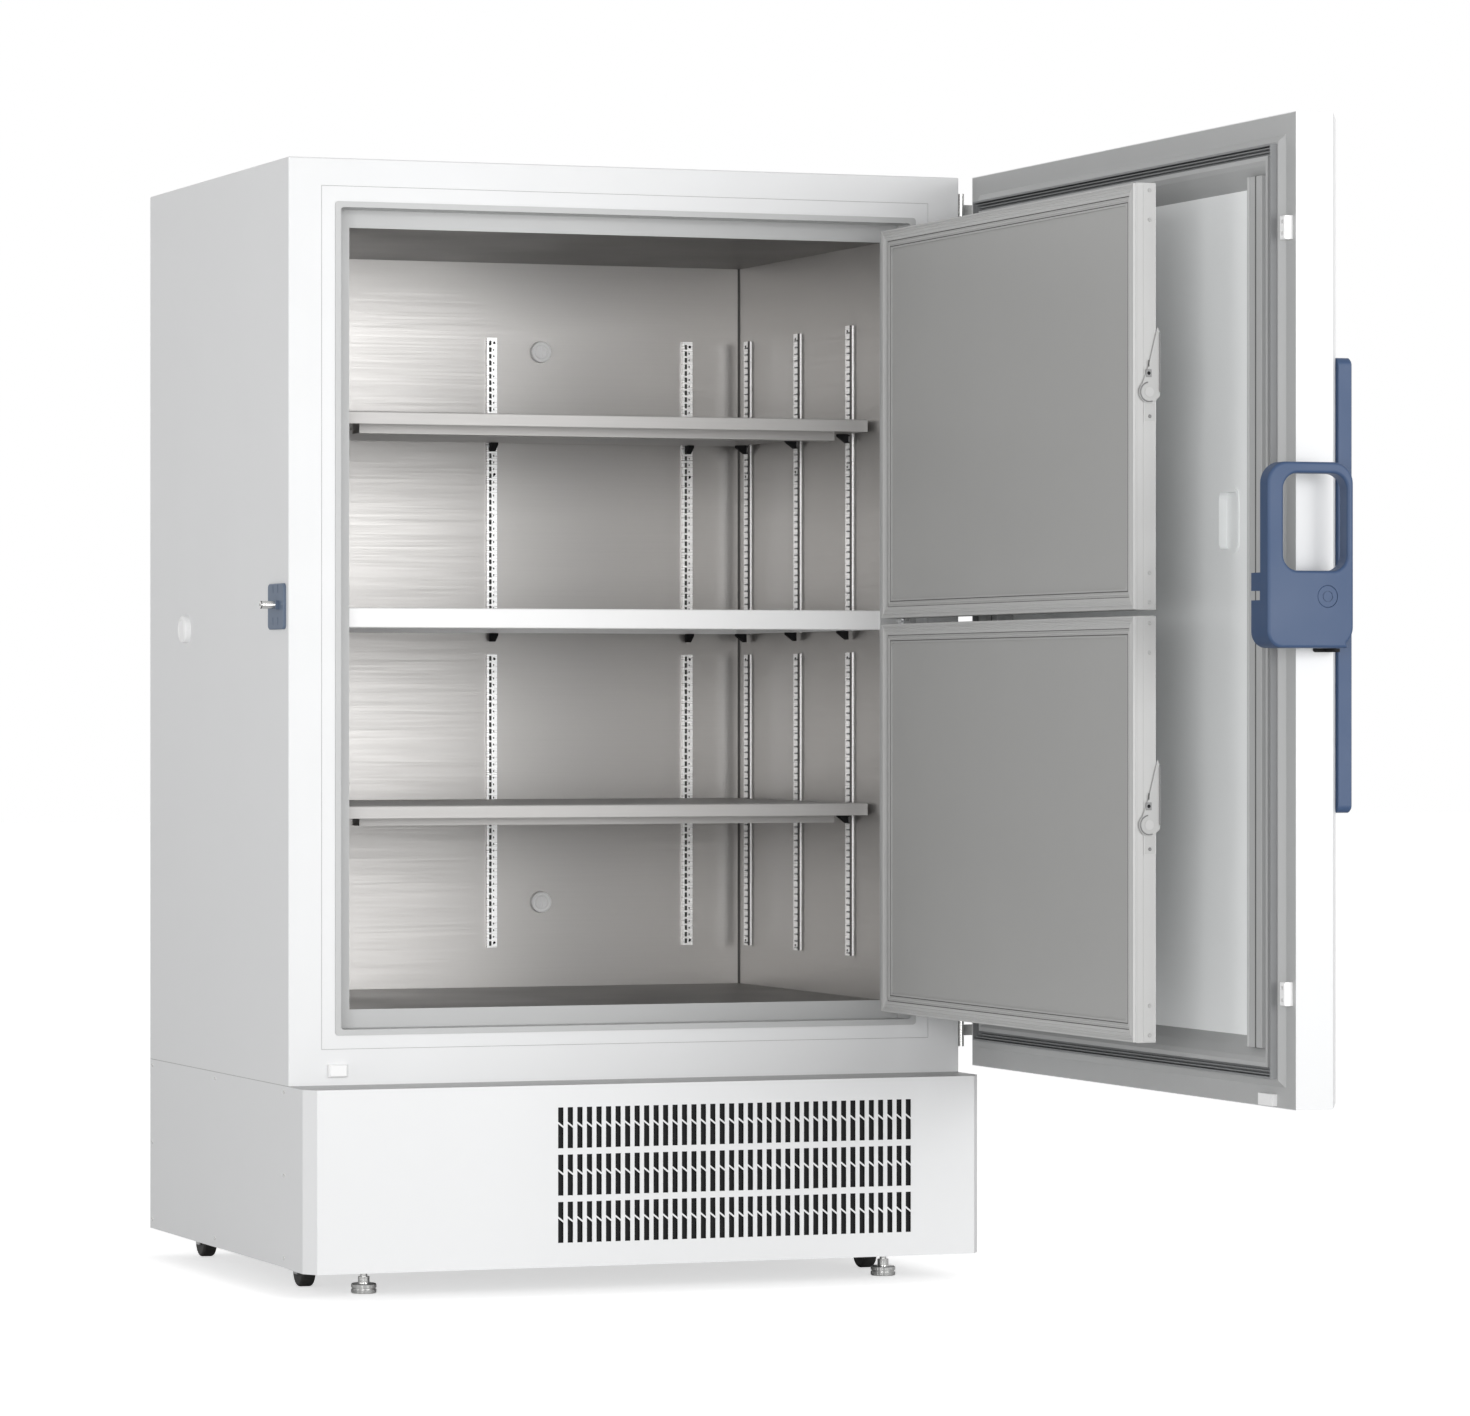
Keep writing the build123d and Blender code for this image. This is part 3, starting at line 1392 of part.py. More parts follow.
with BuildPart() as handle_lever:
    housing_window = (-handle_inner, housing_outer, handle_low, housing_top)
    slab(handle_plane(handle_back), *housing_window, handle_front - handle_back)
    low_edges = handle_lever.edges().filter_by(Axis.Y).group_by(Axis.Z)[0]
    fillet(low_edges.sort_by(Axis.X)[0], housing_corner)
    loop_back = handle_front - loop_thickness
    loop_window = (-handle_inner, handle_outer, handle_low, loop_top)
    slab(handle_plane(loop_back), *loop_window, loop_thickness, loop_corner)
    hole_window = (-hole_inner, hole_outer, hole_low, hole_high)
    hole_depth = loop_thickness + 2 * overrun
    slab(handle_plane(loop_back - overrun), *hole_window, hole_depth, hole_corner, Mode.SUBTRACT)
    fillet(handle_lever.faces().sort_by(Axis.Y)[0].edges(), handle_round)
    notch_window = (notch_outward, handle_outer + overrun, barrel_top, housing_top + overrun)
    notch_depth = notch_reach - handle_back + overrun
    slab(handle_plane(handle_back - overrun), *notch_window, notch_depth, mode=Mode.SUBTRACT)
    post((pivot_x, pivot_y), handle_low, barrel_top, barrel_radius)
    bore_radius = pivot_radius + running_fit
    post((pivot_x, pivot_y), handle_low - overrun, barrel_top + overrun, bore_radius, Mode.SUBTRACT)
    slot_window = (-handle_inner - overrun, slot_depth - handle_inner, pin_z - slot_half, pin_z + slot_half)
    slab(handle_plane(handle_back - overrun), *slot_window, slot_reach + overrun, mode=Mode.SUBTRACT)
    with BuildSketch(handle_plane(handle_front + overrun)):
        with Locations((button_outward, button_level)):
            Circle(button_radius + seat_gap)
    extrude(amount=-button_thickness - button_travel - 2 * overrun, mode=Mode.SUBTRACT)
write(handle_lever, "handle_lever")

with BuildPart() as lock_button:
    with BuildSketch(handle_plane(handle_front)):
        with Locations((button_outward, button_level)):
            Circle(button_radius)
    extrude(amount=-button_thickness)
    chamfer(lock_button.edges().group_by(Axis.Y)[0], handle_round / 5)
    with BuildSketch(handle_plane(handle_front)):
        with Locations((button_outward, button_level)):
            Circle(button_radius / 2)
            Circle(button_radius / 2 - overrun, mode=Mode.SUBTRACT)
    extrude(amount=-handle_round / 5, mode=Mode.SUBTRACT)
write(lock_button, "lock_button")

# Inner doors: a slab with a recessed panel, hinge lugs, an end strip with screws, and the latch stud
inner_border = 34.0
panel_recess = 2.5
panel_corner = 10.0
lug_height = 24.0
lug_back = 20.0
lug_side = 22.0
strip_thickness = 0.6
strip_end = 2.0
screw_radius = 3.0
screw_height = 1.2
screw_insets = (12.0, 60.0)
latch_rise = 354.5
latch_plate_height = 87.0
latch_plate_low = 49.0
latch_plate_inner = 13.0
latch_plate_outer = 35.0
latch_plate_thickness = 1.5
latch_x = 22.0
latch_radius = 18.0
latch_thickness = 2.0
latch_gap = 0.4
latch_stud = 5.0
latch_head = 8.0
latch_tip_x = 39.0
latch_tip_rise = 106.0
latch_edge_x = 41.0
latch_waist_rise = 46.0
latch_arm_share = 0.66
latch_cut_share = 0.73
latch_heel_share = 0.4
latch_tip_round = 2.0
inner_gasket_low = 1.0
inner_gasket_high = 20.0
inner_gasket_body = 3.0
inner_lip_width = 3.0
inner_lip_pitch = 5.5
inner_door_back = inner_axis_depth + inner_door_setback + inner_door_thickness
inner_gasket_reach = recess_depth - seat_thickness - inner_door_back - seat_gap
inner_end_y = inner_axis_y - inner_toe


def end_plane(reach):
    """A plane across the free end of the inner doors: local x is outward from their cold face."""
    return Plane((inner_back_x, inner_end_y - reach, 0), x_dir=(1, 0, 0), z_dir=(0, -1, 0))


def inner_door(low):
    """One inner door standing open, with its lower edge at a height."""
    high = low + inner_door_height
    outline = (inner_door_heel, inner_toe, low, high)
    with BuildPart() as door:
        slab(inner_plane(0), *outline, -inner_door_thickness)
        panel = inset(outline, inner_border)
        slab(inner_plane(0), *panel, -panel_recess, panel_corner, Mode.SUBTRACT)
        for lug_low in (low, high - lug_height):
            with BuildSketch(level(lug_low)) as lug:
                with Locations((inner_axis_x, inner_axis_y)):
                    Circle(knuckle_radius)
                    Polygon(
                        (-knuckle_radius, 0),
                        (-lug_side, -inner_door_heel),
                        (-inner_door_setback, -lug_back),
                        (0, -knuckle_radius),
                        align=None,
                    )
            extrude(lug.sketch, amount=lug_height)
            bore_low = lug_low - overrun
            bore_high = lug_low + lug_height + overrun
            bore_radius = inner_pin_radius + running_fit
            post((inner_axis_x, inner_axis_y), bore_low, bore_high, bore_radius, Mode.SUBTRACT)
        strip = (latch_plate_inner, inner_door_thickness, low + strip_end, high - strip_end)
        strip_middle = (latch_plate_inner + inner_door_thickness) / 2
        slab(end_plane(0), *strip, strip_thickness)
        with BuildSketch(end_plane(strip_thickness)) as screws:
            for screw_inset in screw_insets:
                with Locations((strip_middle, low + screw_inset), (strip_middle, high - screw_inset)):
                    Circle(screw_radius)
        extrude(screws.sketch, amount=screw_height - strip_thickness)
        pivot = low + latch_rise
        plate_low = pivot - latch_plate_low
        plate = (latch_plate_inner, latch_plate_outer, plate_low, plate_low + latch_plate_height)
        slab(end_plane(0), *plate, latch_plate_thickness)
        lever_top = latch_plate_thickness + latch_thickness + 2 * latch_gap
        with BuildSketch(end_plane(0)) as stud:
            with Locations((latch_x, pivot)):
                Circle(latch_stud)
        extrude(stud.sketch, amount=lever_top)
        with BuildSketch(end_plane(lever_top)) as head:
            with Locations((latch_x, pivot)):
                Circle(latch_head)
        extrude(head.sketch, amount=latch_gap)
    return door


def inner_gasket(low):
    """The lipped gasket on the cold face of one inner door."""
    outline = (inner_door_heel, inner_toe, low, low + inner_door_height)
    lips = lipped_section(
        inner_gasket_low,
        inner_gasket_high,
        inner_gasket_body,
        inner_gasket_reach,
        (inner_gasket_body + inner_gasket_reach) / 2,
        inner_lip_width,
        inner_lip_pitch,
    )
    with BuildPart() as gasket:
        swept_ring(inner_plane(0), outline, lips)
    return gasket


def latch(low):
    """The flat latch lever of one inner door: a disc round the stud with a pointed arm above it."""
    pivot = low + latch_rise
    with BuildPart() as lever:
        with BuildSketch(end_plane(latch_plate_thickness + latch_gap)) as blade:
            with Locations((latch_x, pivot)):
                Circle(latch_radius)
                arm = latch_arm_share * latch_radius
                cut = latch_cut_share * latch_radius
                Polygon(
                    (arm, -cut),
                    (latch_edge_x - latch_x, -latch_heel_share * latch_radius),
                    (latch_edge_x - latch_x, latch_tip_rise - latch_radius / 2),
                    (latch_tip_x - latch_x - latch_tip_round, latch_tip_rise),
                    (0, latch_waist_rise),
                    (-arm, cut),
                    align=None,
                )
                Circle(latch_stud + running_fit, mode=Mode.SUBTRACT)
        extrude(blade.sketch, amount=latch_thickness)
    return lever


for name, low in (("lower", inner_door_low), ("upper", upper_door_low)):
    write(inner_door(low), f"{name}_inner_door")
    write(inner_gasket(low), f"{name}_inner_gasket")
    write(latch(low), f"{name}_latch")
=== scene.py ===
# %% [markdown]
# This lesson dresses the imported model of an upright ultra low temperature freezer. The cabinet, doors,
# shelves and base come from the CAD frame, so they are already the right size and place. Blender adds
# the camera, the light, the finishes and the small details that the photograph shows.

# %% Load the frame
import math

import bmesh
import bpy
import json
from mathutils import Matrix, Vector


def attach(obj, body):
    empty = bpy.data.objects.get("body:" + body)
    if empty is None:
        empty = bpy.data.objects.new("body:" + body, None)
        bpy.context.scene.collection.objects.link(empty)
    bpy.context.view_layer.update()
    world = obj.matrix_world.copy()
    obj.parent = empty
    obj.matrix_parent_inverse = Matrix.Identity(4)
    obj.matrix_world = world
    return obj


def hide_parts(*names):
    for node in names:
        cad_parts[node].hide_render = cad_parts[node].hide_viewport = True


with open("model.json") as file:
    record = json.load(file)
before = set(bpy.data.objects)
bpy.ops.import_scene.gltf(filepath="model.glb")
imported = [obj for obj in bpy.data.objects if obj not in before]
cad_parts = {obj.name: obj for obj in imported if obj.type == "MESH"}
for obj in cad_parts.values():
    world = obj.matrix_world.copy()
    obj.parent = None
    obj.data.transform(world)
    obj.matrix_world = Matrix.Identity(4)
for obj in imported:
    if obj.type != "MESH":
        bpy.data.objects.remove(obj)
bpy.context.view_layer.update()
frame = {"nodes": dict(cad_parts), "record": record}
nodes = frame["nodes"]
print("CAD nodes:", len(nodes))

# %% [markdown]
# The photograph was taken from far away with a long lens, and then cropped off centre. A far camera
# keeps upright edges upright, so the camera is level and the crop becomes a lens shift. The numbers
# come from fitting the corners of the cabinet, the base cover and the open door.

# %% Camera
camera_place = Vector((-3.6955, -10.1828, 1.0278))
camera_turn = math.radians(19.195)
photo_width = 1470
photo_height = 1416
focal_pixels = 5897.4
centre_pixels = (469.72, 705.94)
sensor_width = 36.0
farthest_seen = 200

camera_data = bpy.data.cameras.new("camera")
camera_data.sensor_width = sensor_width
camera_data.lens = focal_pixels / photo_width * sensor_width
camera_data.shift_x = (photo_width / 2 - centre_pixels[0]) / photo_width
camera_data.shift_y = (centre_pixels[1] - photo_height / 2) / photo_width
camera_data.clip_end = farthest_seen
camera = bpy.data.objects.new("camera", camera_data)
camera.location = camera_place
camera.rotation_euler = (math.pi / 2, 0, -camera_turn)
bpy.context.scene.collection.objects.link(camera)
bpy.context.scene.camera = camera
bpy.context.scene.view_settings.view_transform = "Standard"
print("lens", round(camera_data.lens, 1), "mm")

# %% [markdown]
# The freezer stands in an even white studio. One way is a ring of strong lamps, but that hides the
# shapes. Here a pale world gives the base level, and wide soft boxes in front shape the light: the
# front comes out brightest, the left side a step darker, and the open doors throw soft shade into the
# cabinet. Camera, glossy and clear rays see a white backdrop, so metal shows it too. The light that the
# world throws on the object stays weaker than that backdrop.

# %% World
ambient_strength = 0.42
backdrop_strength = 1.0

world = bpy.data.worlds.new("studio")
bpy.context.scene.world = world
world.use_nodes = True
tree = world.node_tree
tree.nodes.clear()
path = tree.nodes.new("ShaderNodeLightPath")
seen = tree.nodes.new("ShaderNodeMath")
seen.operation = "MAXIMUM"
seen_clear = tree.nodes.new("ShaderNodeMath")
seen_clear.operation = "MAXIMUM"
level = tree.nodes.new("ShaderNodeMapRange")
level.inputs["To Min"].default_value = ambient_strength
level.inputs["To Max"].default_value = backdrop_strength
background = tree.nodes.new("ShaderNodeBackground")
background.inputs["Color"].default_value = (1, 1, 1, 1)
output = tree.nodes.new("ShaderNodeOutputWorld")
tree.links.new(path.outputs["Is Camera Ray"], seen.inputs[0])
tree.links.new(path.outputs["Is Glossy Ray"], seen.inputs[1])
tree.links.new(seen.outputs[0], seen_clear.inputs[0])
tree.links.new(path.outputs["Is Transmission Ray"], seen_clear.inputs[1])
tree.links.new(seen_clear.outputs[0], level.inputs["Value"])
tree.links.new(level.outputs["Result"], background.inputs["Strength"])
tree.links.new(background.outputs["Background"], output.inputs["Surface"])
print("light level of the world:", ambient_strength)

# %% [markdown]
# A soft box is a flat area lamp. The bigger it is, the softer its shadows, so all are metres wide. The
# right one lights the front and the left half of the liner, past the open doors. The left one stands on
# the camera's side, so it reaches behind the inner doors, where the pan of the outer door would be
# black. A weak third one, far out on the left, lifts the side panel and the inner doors. Each row of
# the table has a name, the lamp's place, the point it faces, its width and height, and its watts.

# %% Lamps
soft_boxes = (
    ("front_soft_box", (3.0, -8.2, 1.8), (0, 0, 1.1), (5.0, 3.2), 285),
    ("left_soft_box", (-5.4, -8.6, 1.8), (0.4, -1.2, 1.1), (3.4, 3.4), 280),
    ("side_soft_box", (-9.0, -2.6, 1.6), (0, -0.8, 1.1), (3.0, 3.0), 95),
)


def lamp(name, place, target, size, power):
    """A flat soft box that faces a point."""
    light = bpy.data.lights.new(name, "AREA")
    light.shape = "RECTANGLE"
    light.size, light.size_y = size
    light.energy = power
    holder = bpy.data.objects.new(name, light)
    holder.location = place
    facing = Vector(target) - Vector(place)
    holder.rotation_euler = facing.to_track_quat("-Z", "Y").to_euler()
    bpy.context.scene.collection.objects.link(holder)
    print(name, power, "W")


for row in soft_boxes:
    lamp(*row)

# %% [markdown]
# The floor is one large pale plane that catches the soft shadow under the base. The camera sees it
# almost white, because its own glow is added for camera rays alone and so throws no light on the
# object.

# %% Floor
floor_glow = 0.6
floor_half = 40
floor_color = (0.9, 0.9, 0.9, 1)
floor_roughness = 0.9

floor_mesh = bpy.data.meshes.new("floor")
shape = bmesh.new()
bmesh.ops.create_grid(shape, x_segments=1, y_segments=1, size=floor_half)
shape.to_mesh(floor_mesh)
shape.free()
floor = bpy.data.objects.new("floor", floor_mesh)
bpy.context.scene.collection.objects.link(floor)
floor_material = bpy.data.materials.new("studio_floor")
floor_material.use_nodes = True
tree = floor_material.node_tree
shader = tree.nodes["Principled BSDF"]
shader.inputs["Base Color"].default_value = floor_color
shader.inputs["Roughness"].default_value = floor_roughness
path = tree.nodes.new("ShaderNodeLightPath")
lift = tree.nodes.new("ShaderNodeMath")
lift.operation = "MULTIPLY"
lift.inputs[1].default_value = floor_glow
tree.links.new(path.outputs["Is Camera Ray"], lift.inputs[0])
tree.links.new(lift.outputs[0], shader.inputs["Emission Strength"])
shader.inputs["Emission Color"].default_value = (1, 1, 1, 1)
floor_mesh.materials.append(floor_material)
print("floor:", 2 * floor_half, "m wide")

# %% [markdown]
# Some effects come back in many finishes, so each is a node group with named inputs. The first is the
# faint unevenness of paint and moulded plastic: slow changes of tone, patches where hands and cloths
# have made it a little duller or shinier, and a fine orange-peel bump. A painted texture could do this
# too, but noise needs no unwrapping and keeps its real size on every piece.

# %% Group: surface grain


def new_group(name, inputs, outputs):
    """A shader group with float, colour or vector sockets."""
    group = bpy.data.node_groups.new(name, "ShaderNodeTree")
    for label, kind, default in inputs:
        socket = group.interface.new_socket(label, in_out="INPUT", socket_type=kind)
        socket.default_value = default
    for label, kind in outputs:
        group.interface.new_socket(label, in_out="OUTPUT", socket_type=kind)
    return group, group.nodes.new("NodeGroupInput"), group.nodes.new("NodeGroupOutput")


def node(tree, kind, **settings):
    """A new node with some of its settings changed."""
    made = tree.nodes.new(kind)
    for label, value in settings.items():
        setattr(made, label, value)
    return made


def math_node(tree, operation, first=None, second=None, third=None):
    """A Math node whose inputs are links, numbers or left alone."""
    made = node(tree, "ShaderNodeMath", operation=operation)
    for socket, value in zip(made.inputs, (first, second, third)):
        if isinstance(value, (int, float)):
            socket.default_value = value
        elif value is not None:
            tree.links.new(value, socket)
    return made.outputs[0]


def noise_node(tree, scale, detail, vector):
    """A noise texture whose scale is a link or a number."""
    made = node(tree, "ShaderNodeTexNoise")
    made.inputs["Detail"].default_value = detail
    tree.links.new(vector, made.inputs["Vector"])
    if isinstance(scale, (int, float)):
        made.inputs["Scale"].default_value = scale
    else:
        tree.links.new(scale, made.inputs["Scale"])
    return made.outputs["Fac"]


def scaled_color(tree, color, factor):
    """A colour made darker or lighter by a factor that changes over the surface."""
    made = node(tree, "ShaderNodeVectorMath", operation="SCALE")
    tree.links.new(color, made.inputs[0])
    tree.links.new(factor, made.inputs["Scale"])
    return made.outputs[0]


finish_outputs = [
    ("Color", "NodeSocketColor"),
    ("Roughness", "NodeSocketFloat"),
    ("Normal", "NodeSocketVector"),
]
noise_middle = 0.5
slow_scale = 2.5
slow_detail = 2
smudge_scale = 9.0
smudge_detail = 4
grain_height = 0.0004

grain, grain_in, grain_out = new_group(
    "surface_grain",
    [
        ("Color", "NodeSocketColor", (0.8, 0.8, 0.8, 1)),
        ("Tone Change", "NodeSocketFloat", 0.02),
        ("Grain Scale", "NodeSocketFloat", 900.0),
        ("Grain Depth", "NodeSocketFloat", 0.05),
        ("Roughness", "NodeSocketFloat", 0.4),
        ("Smudges", "NodeSocketFloat", 0.1),
    ],
    finish_outputs,
)
place = node(grain, "ShaderNodeTexCoord").outputs["Object"]
slow = noise_node(grain, slow_scale, slow_detail, place)
smudge = noise_node(grain, smudge_scale, smudge_detail, place)
fine = noise_node(grain, grain_in.outputs["Grain Scale"], 1, place)
drift = math_node(grain, "SUBTRACT", slow, noise_middle)
swing = math_node(grain, "MULTIPLY_ADD", drift, grain_in.outputs["Tone Change"], 1.0)
grain.links.new(scaled_color(grain, grain_in.outputs["Color"], swing), grain_out.inputs["Color"])
dull = math_node(grain, "SUBTRACT", smudge, noise_middle)
rough = math_node(grain, "MULTIPLY_ADD", dull, grain_in.outputs["Smudges"], grain_in.outputs["Roughness"])
grain.links.new(rough, grain_out.inputs["Roughness"])
bump = node(grain, "ShaderNodeBump")
bump.inputs["Distance"].default_value = grain_height
grain.links.new(fine, bump.inputs["Height"])
grain.links.new(grain_in.outputs["Grain Depth"], bump.inputs["Strength"])
grain.links.new(bump.outputs["Normal"], grain_out.inputs["Normal"])
print("group", grain.name)

# %% [markdown]
# Brushed stainless steel carries fine parallel scratches. Noise that is squeezed along two axes and
# left long on the third gives such lines, and the same lines change both the roughness and the tone a
# little.

# %% Group: brushed lines
line_height = 0.0001
line_strength = 0.15
line_dulling = 0.25
line_detail = 3

brushed, brushed_in, brushed_out = new_group(
    "brushed_lines",
    [
        ("Color", "NodeSocketColor", (0.6, 0.6, 0.6, 1)),
        ("Tone Change", "NodeSocketFloat", 0.12),
        ("Roughness", "NodeSocketFloat", 0.4),
        ("Line Scale", "NodeSocketVector", (4.0, 4.0, 700.0)),
    ],
    finish_outputs,
)
place = node(brushed, "ShaderNodeTexCoord").outputs["Object"]
stretch = node(brushed, "ShaderNodeVectorMath", operation="MULTIPLY")
brushed.links.new(place, stretch.inputs[0])
brushed.links.new(brushed_in.outputs["Line Scale"], stretch.inputs[1])
scratches = noise_node(brushed, 1.0, line_detail, stretch.outputs[0])
centred = math_node(brushed, "SUBTRACT", scratches, noise_middle)
swing = math_node(brushed, "MULTIPLY_ADD", centred, brushed_in.outputs["Tone Change"], 1.0)
brushed.links.new(scaled_color(brushed, brushed_in.outputs["Color"], swing), brushed_out.inputs["Color"])
rough = math_node(brushed, "MULTIPLY_ADD", centred, line_dulling, brushed_in.outputs["Roughness"])
brushed.links.new(rough, brushed_out.inputs["Roughness"])
bump = node(brushed, "ShaderNodeBump")
bump.inputs["Distance"].default_value = line_height
bump.inputs["Strength"].default_value = line_strength
brushed.links.new(scratches, bump.inputs["Height"])
brushed.links.new(bump.outputs["Normal"], brushed_out.inputs["Normal"])
print("group", brushed.name)

# %% [markdown]
# One moulding or pressing can carry two tones, as where a panel is set into a frame. Splitting the mesh
# would need its faces picked by hand. Here the material does it, with a mask that is white between two
# distances along an axis.

# %% Group: band mask
band, band_in, band_out = new_group(
    "band_mask",
    [
        ("Axis", "NodeSocketVector", (0, 0, 1)),
        ("Low", "NodeSocketFloat", 0.0),
        ("High", "NodeSocketFloat", 1.0),
    ],
    [("Mask", "NodeSocketFloat")],
)
along = node(band, "ShaderNodeVectorMath", operation="DOT_PRODUCT")
band.links.new(node(band, "ShaderNodeTexCoord").outputs["Object"], along.inputs[0])
band.links.new(band_in.outputs["Axis"], along.inputs[1])
above = math_node(band, "GREATER_THAN", along.outputs["Value"], band_in.outputs["Low"])
below = math_node(band, "LESS_THAN", along.outputs["Value"], band_in.outputs["High"])
band.links.new(math_node(band, "MULTIPLY", above, below), band_out.inputs["Mask"])
print("group", band.name)

# %% [markdown]
# Dust settles low down, on wheels, feet and the underside. It is a pale veil that fades with height and
# is broken up by noise, so it only changes the colour that goes into a finish.

# %% Group: low dust
dust_scale = 60.0
dust_detail = 3

dust, dust_in, dust_out = new_group(
    "low_dust",
    [
        ("Color", "NodeSocketColor", (0.5, 0.5, 0.5, 1)),
        ("Dust Color", "NodeSocketColor", (0.35, 0.33, 0.30, 1)),
        ("Amount", "NodeSocketFloat", 0.3),
        ("Height", "NodeSocketFloat", 0.12),
    ],
    [("Color", "NodeSocketColor")],
)
place = node(dust, "ShaderNodeTexCoord").outputs["Object"]
axes = node(dust, "ShaderNodeSeparateXYZ")
dust.links.new(place, axes.inputs[0])
risen = math_node(dust, "DIVIDE", axes.outputs["Z"], dust_in.outputs["Height"])
fade = math_node(dust, "SUBTRACT", 1.0, risen)
veil = math_node(dust, "MULTIPLY", math_node(dust, "MAXIMUM", fade, 0.0), dust_in.outputs["Amount"])
patchy = math_node(dust, "MULTIPLY", veil, noise_node(dust, dust_scale, dust_detail, place))
mix = node(dust, "ShaderNodeMix", data_type="RGBA")
dust.links.new(patchy, mix.inputs["Factor"])
dust.links.new(dust_in.outputs["Color"], mix.inputs[6])
dust.links.new(dust_in.outputs["Dust Color"], mix.inputs[7])
dust.links.new(mix.outputs[2], dust_out.inputs["Color"])
print("group", dust.name)

# %% [markdown]
# Each finish is one material: a group gives its colour, roughness and normal, and the plain numbers,
# such as metallic, are set on the shader itself. A finish may take a second tone inside a band, or
# dust. The paint is a satin powder coat, the covers are moulded plastic, and the liner and shelves are
# stainless steel. The values below say where one piece changes its tone, in metres along an axis. All
# but the band of the light plastic are painted shade or painted light.

# %% Finishes


def finish(name, group, metallic=0.0, specular=0.5, bands=(), dusty=0.0, **values):
    """A material whose colour, roughness and normal come from one of the groups."""
    made = bpy.data.materials.new(name)
    made.use_nodes = True
    tree = made.node_tree
    shader = tree.nodes["Principled BSDF"]
    effect = node(tree, "ShaderNodeGroup", node_tree=group)
    for label, value in values.items():
        socket = effect.inputs[label.replace("_", " ").title()]
        socket.default_value = (*value, 1) if label == "color" else value
    below = None
    for tone, axis, low, high in bands:
        mask = node(tree, "ShaderNodeGroup", node_tree=band)
        mask.inputs["Axis"].default_value = axis
        mask.inputs["Low"].default_value = low
        mask.inputs["High"].default_value = high
        tones = node(tree, "ShaderNodeMix", data_type="RGBA")
        tones.inputs[6].default_value = (*values["color"], 1)
        tones.inputs[7].default_value = (*tone, 1)
        if below:
            tree.links.new(below, tones.inputs[6])
        tree.links.new(mask.outputs["Mask"], tones.inputs["Factor"])
        below = tones.outputs[2]
        tree.links.new(below, effect.inputs["Color"])
    if dusty:
        settled = node(tree, "ShaderNodeGroup", node_tree=dust)
        settled.inputs["Color"].default_value = (*values["color"], 1)
        settled.inputs["Amount"].default_value = dusty
        tree.links.new(settled.outputs["Color"], effect.inputs["Color"])
    tree.links.new(effect.outputs["Color"], shader.inputs["Base Color"])
    tree.links.new(effect.outputs["Roughness"], shader.inputs["Roughness"])
    tree.links.new(effect.outputs["Normal"], shader.inputs["Normal"])
    shader.inputs["Metallic"].default_value = metallic
    shader.inputs["Specular IOR Level"].default_value = specular
    return made


liner_low = 0.497
liner_high = 1.864
along_x = (1, 0, 0)
along_y = (0, 1, 0)
along_z = (0, 0, 1)
beyond = 5
panel_face = 0.4855
door_back = 0.518
plug_start = -0.3
pan_start = 0.6698
base_seam = 0.368
door_end = -1.70
foam_front = -0.4
foam_limit = -0.5
strike_start = -0.6
hair = 0.0004

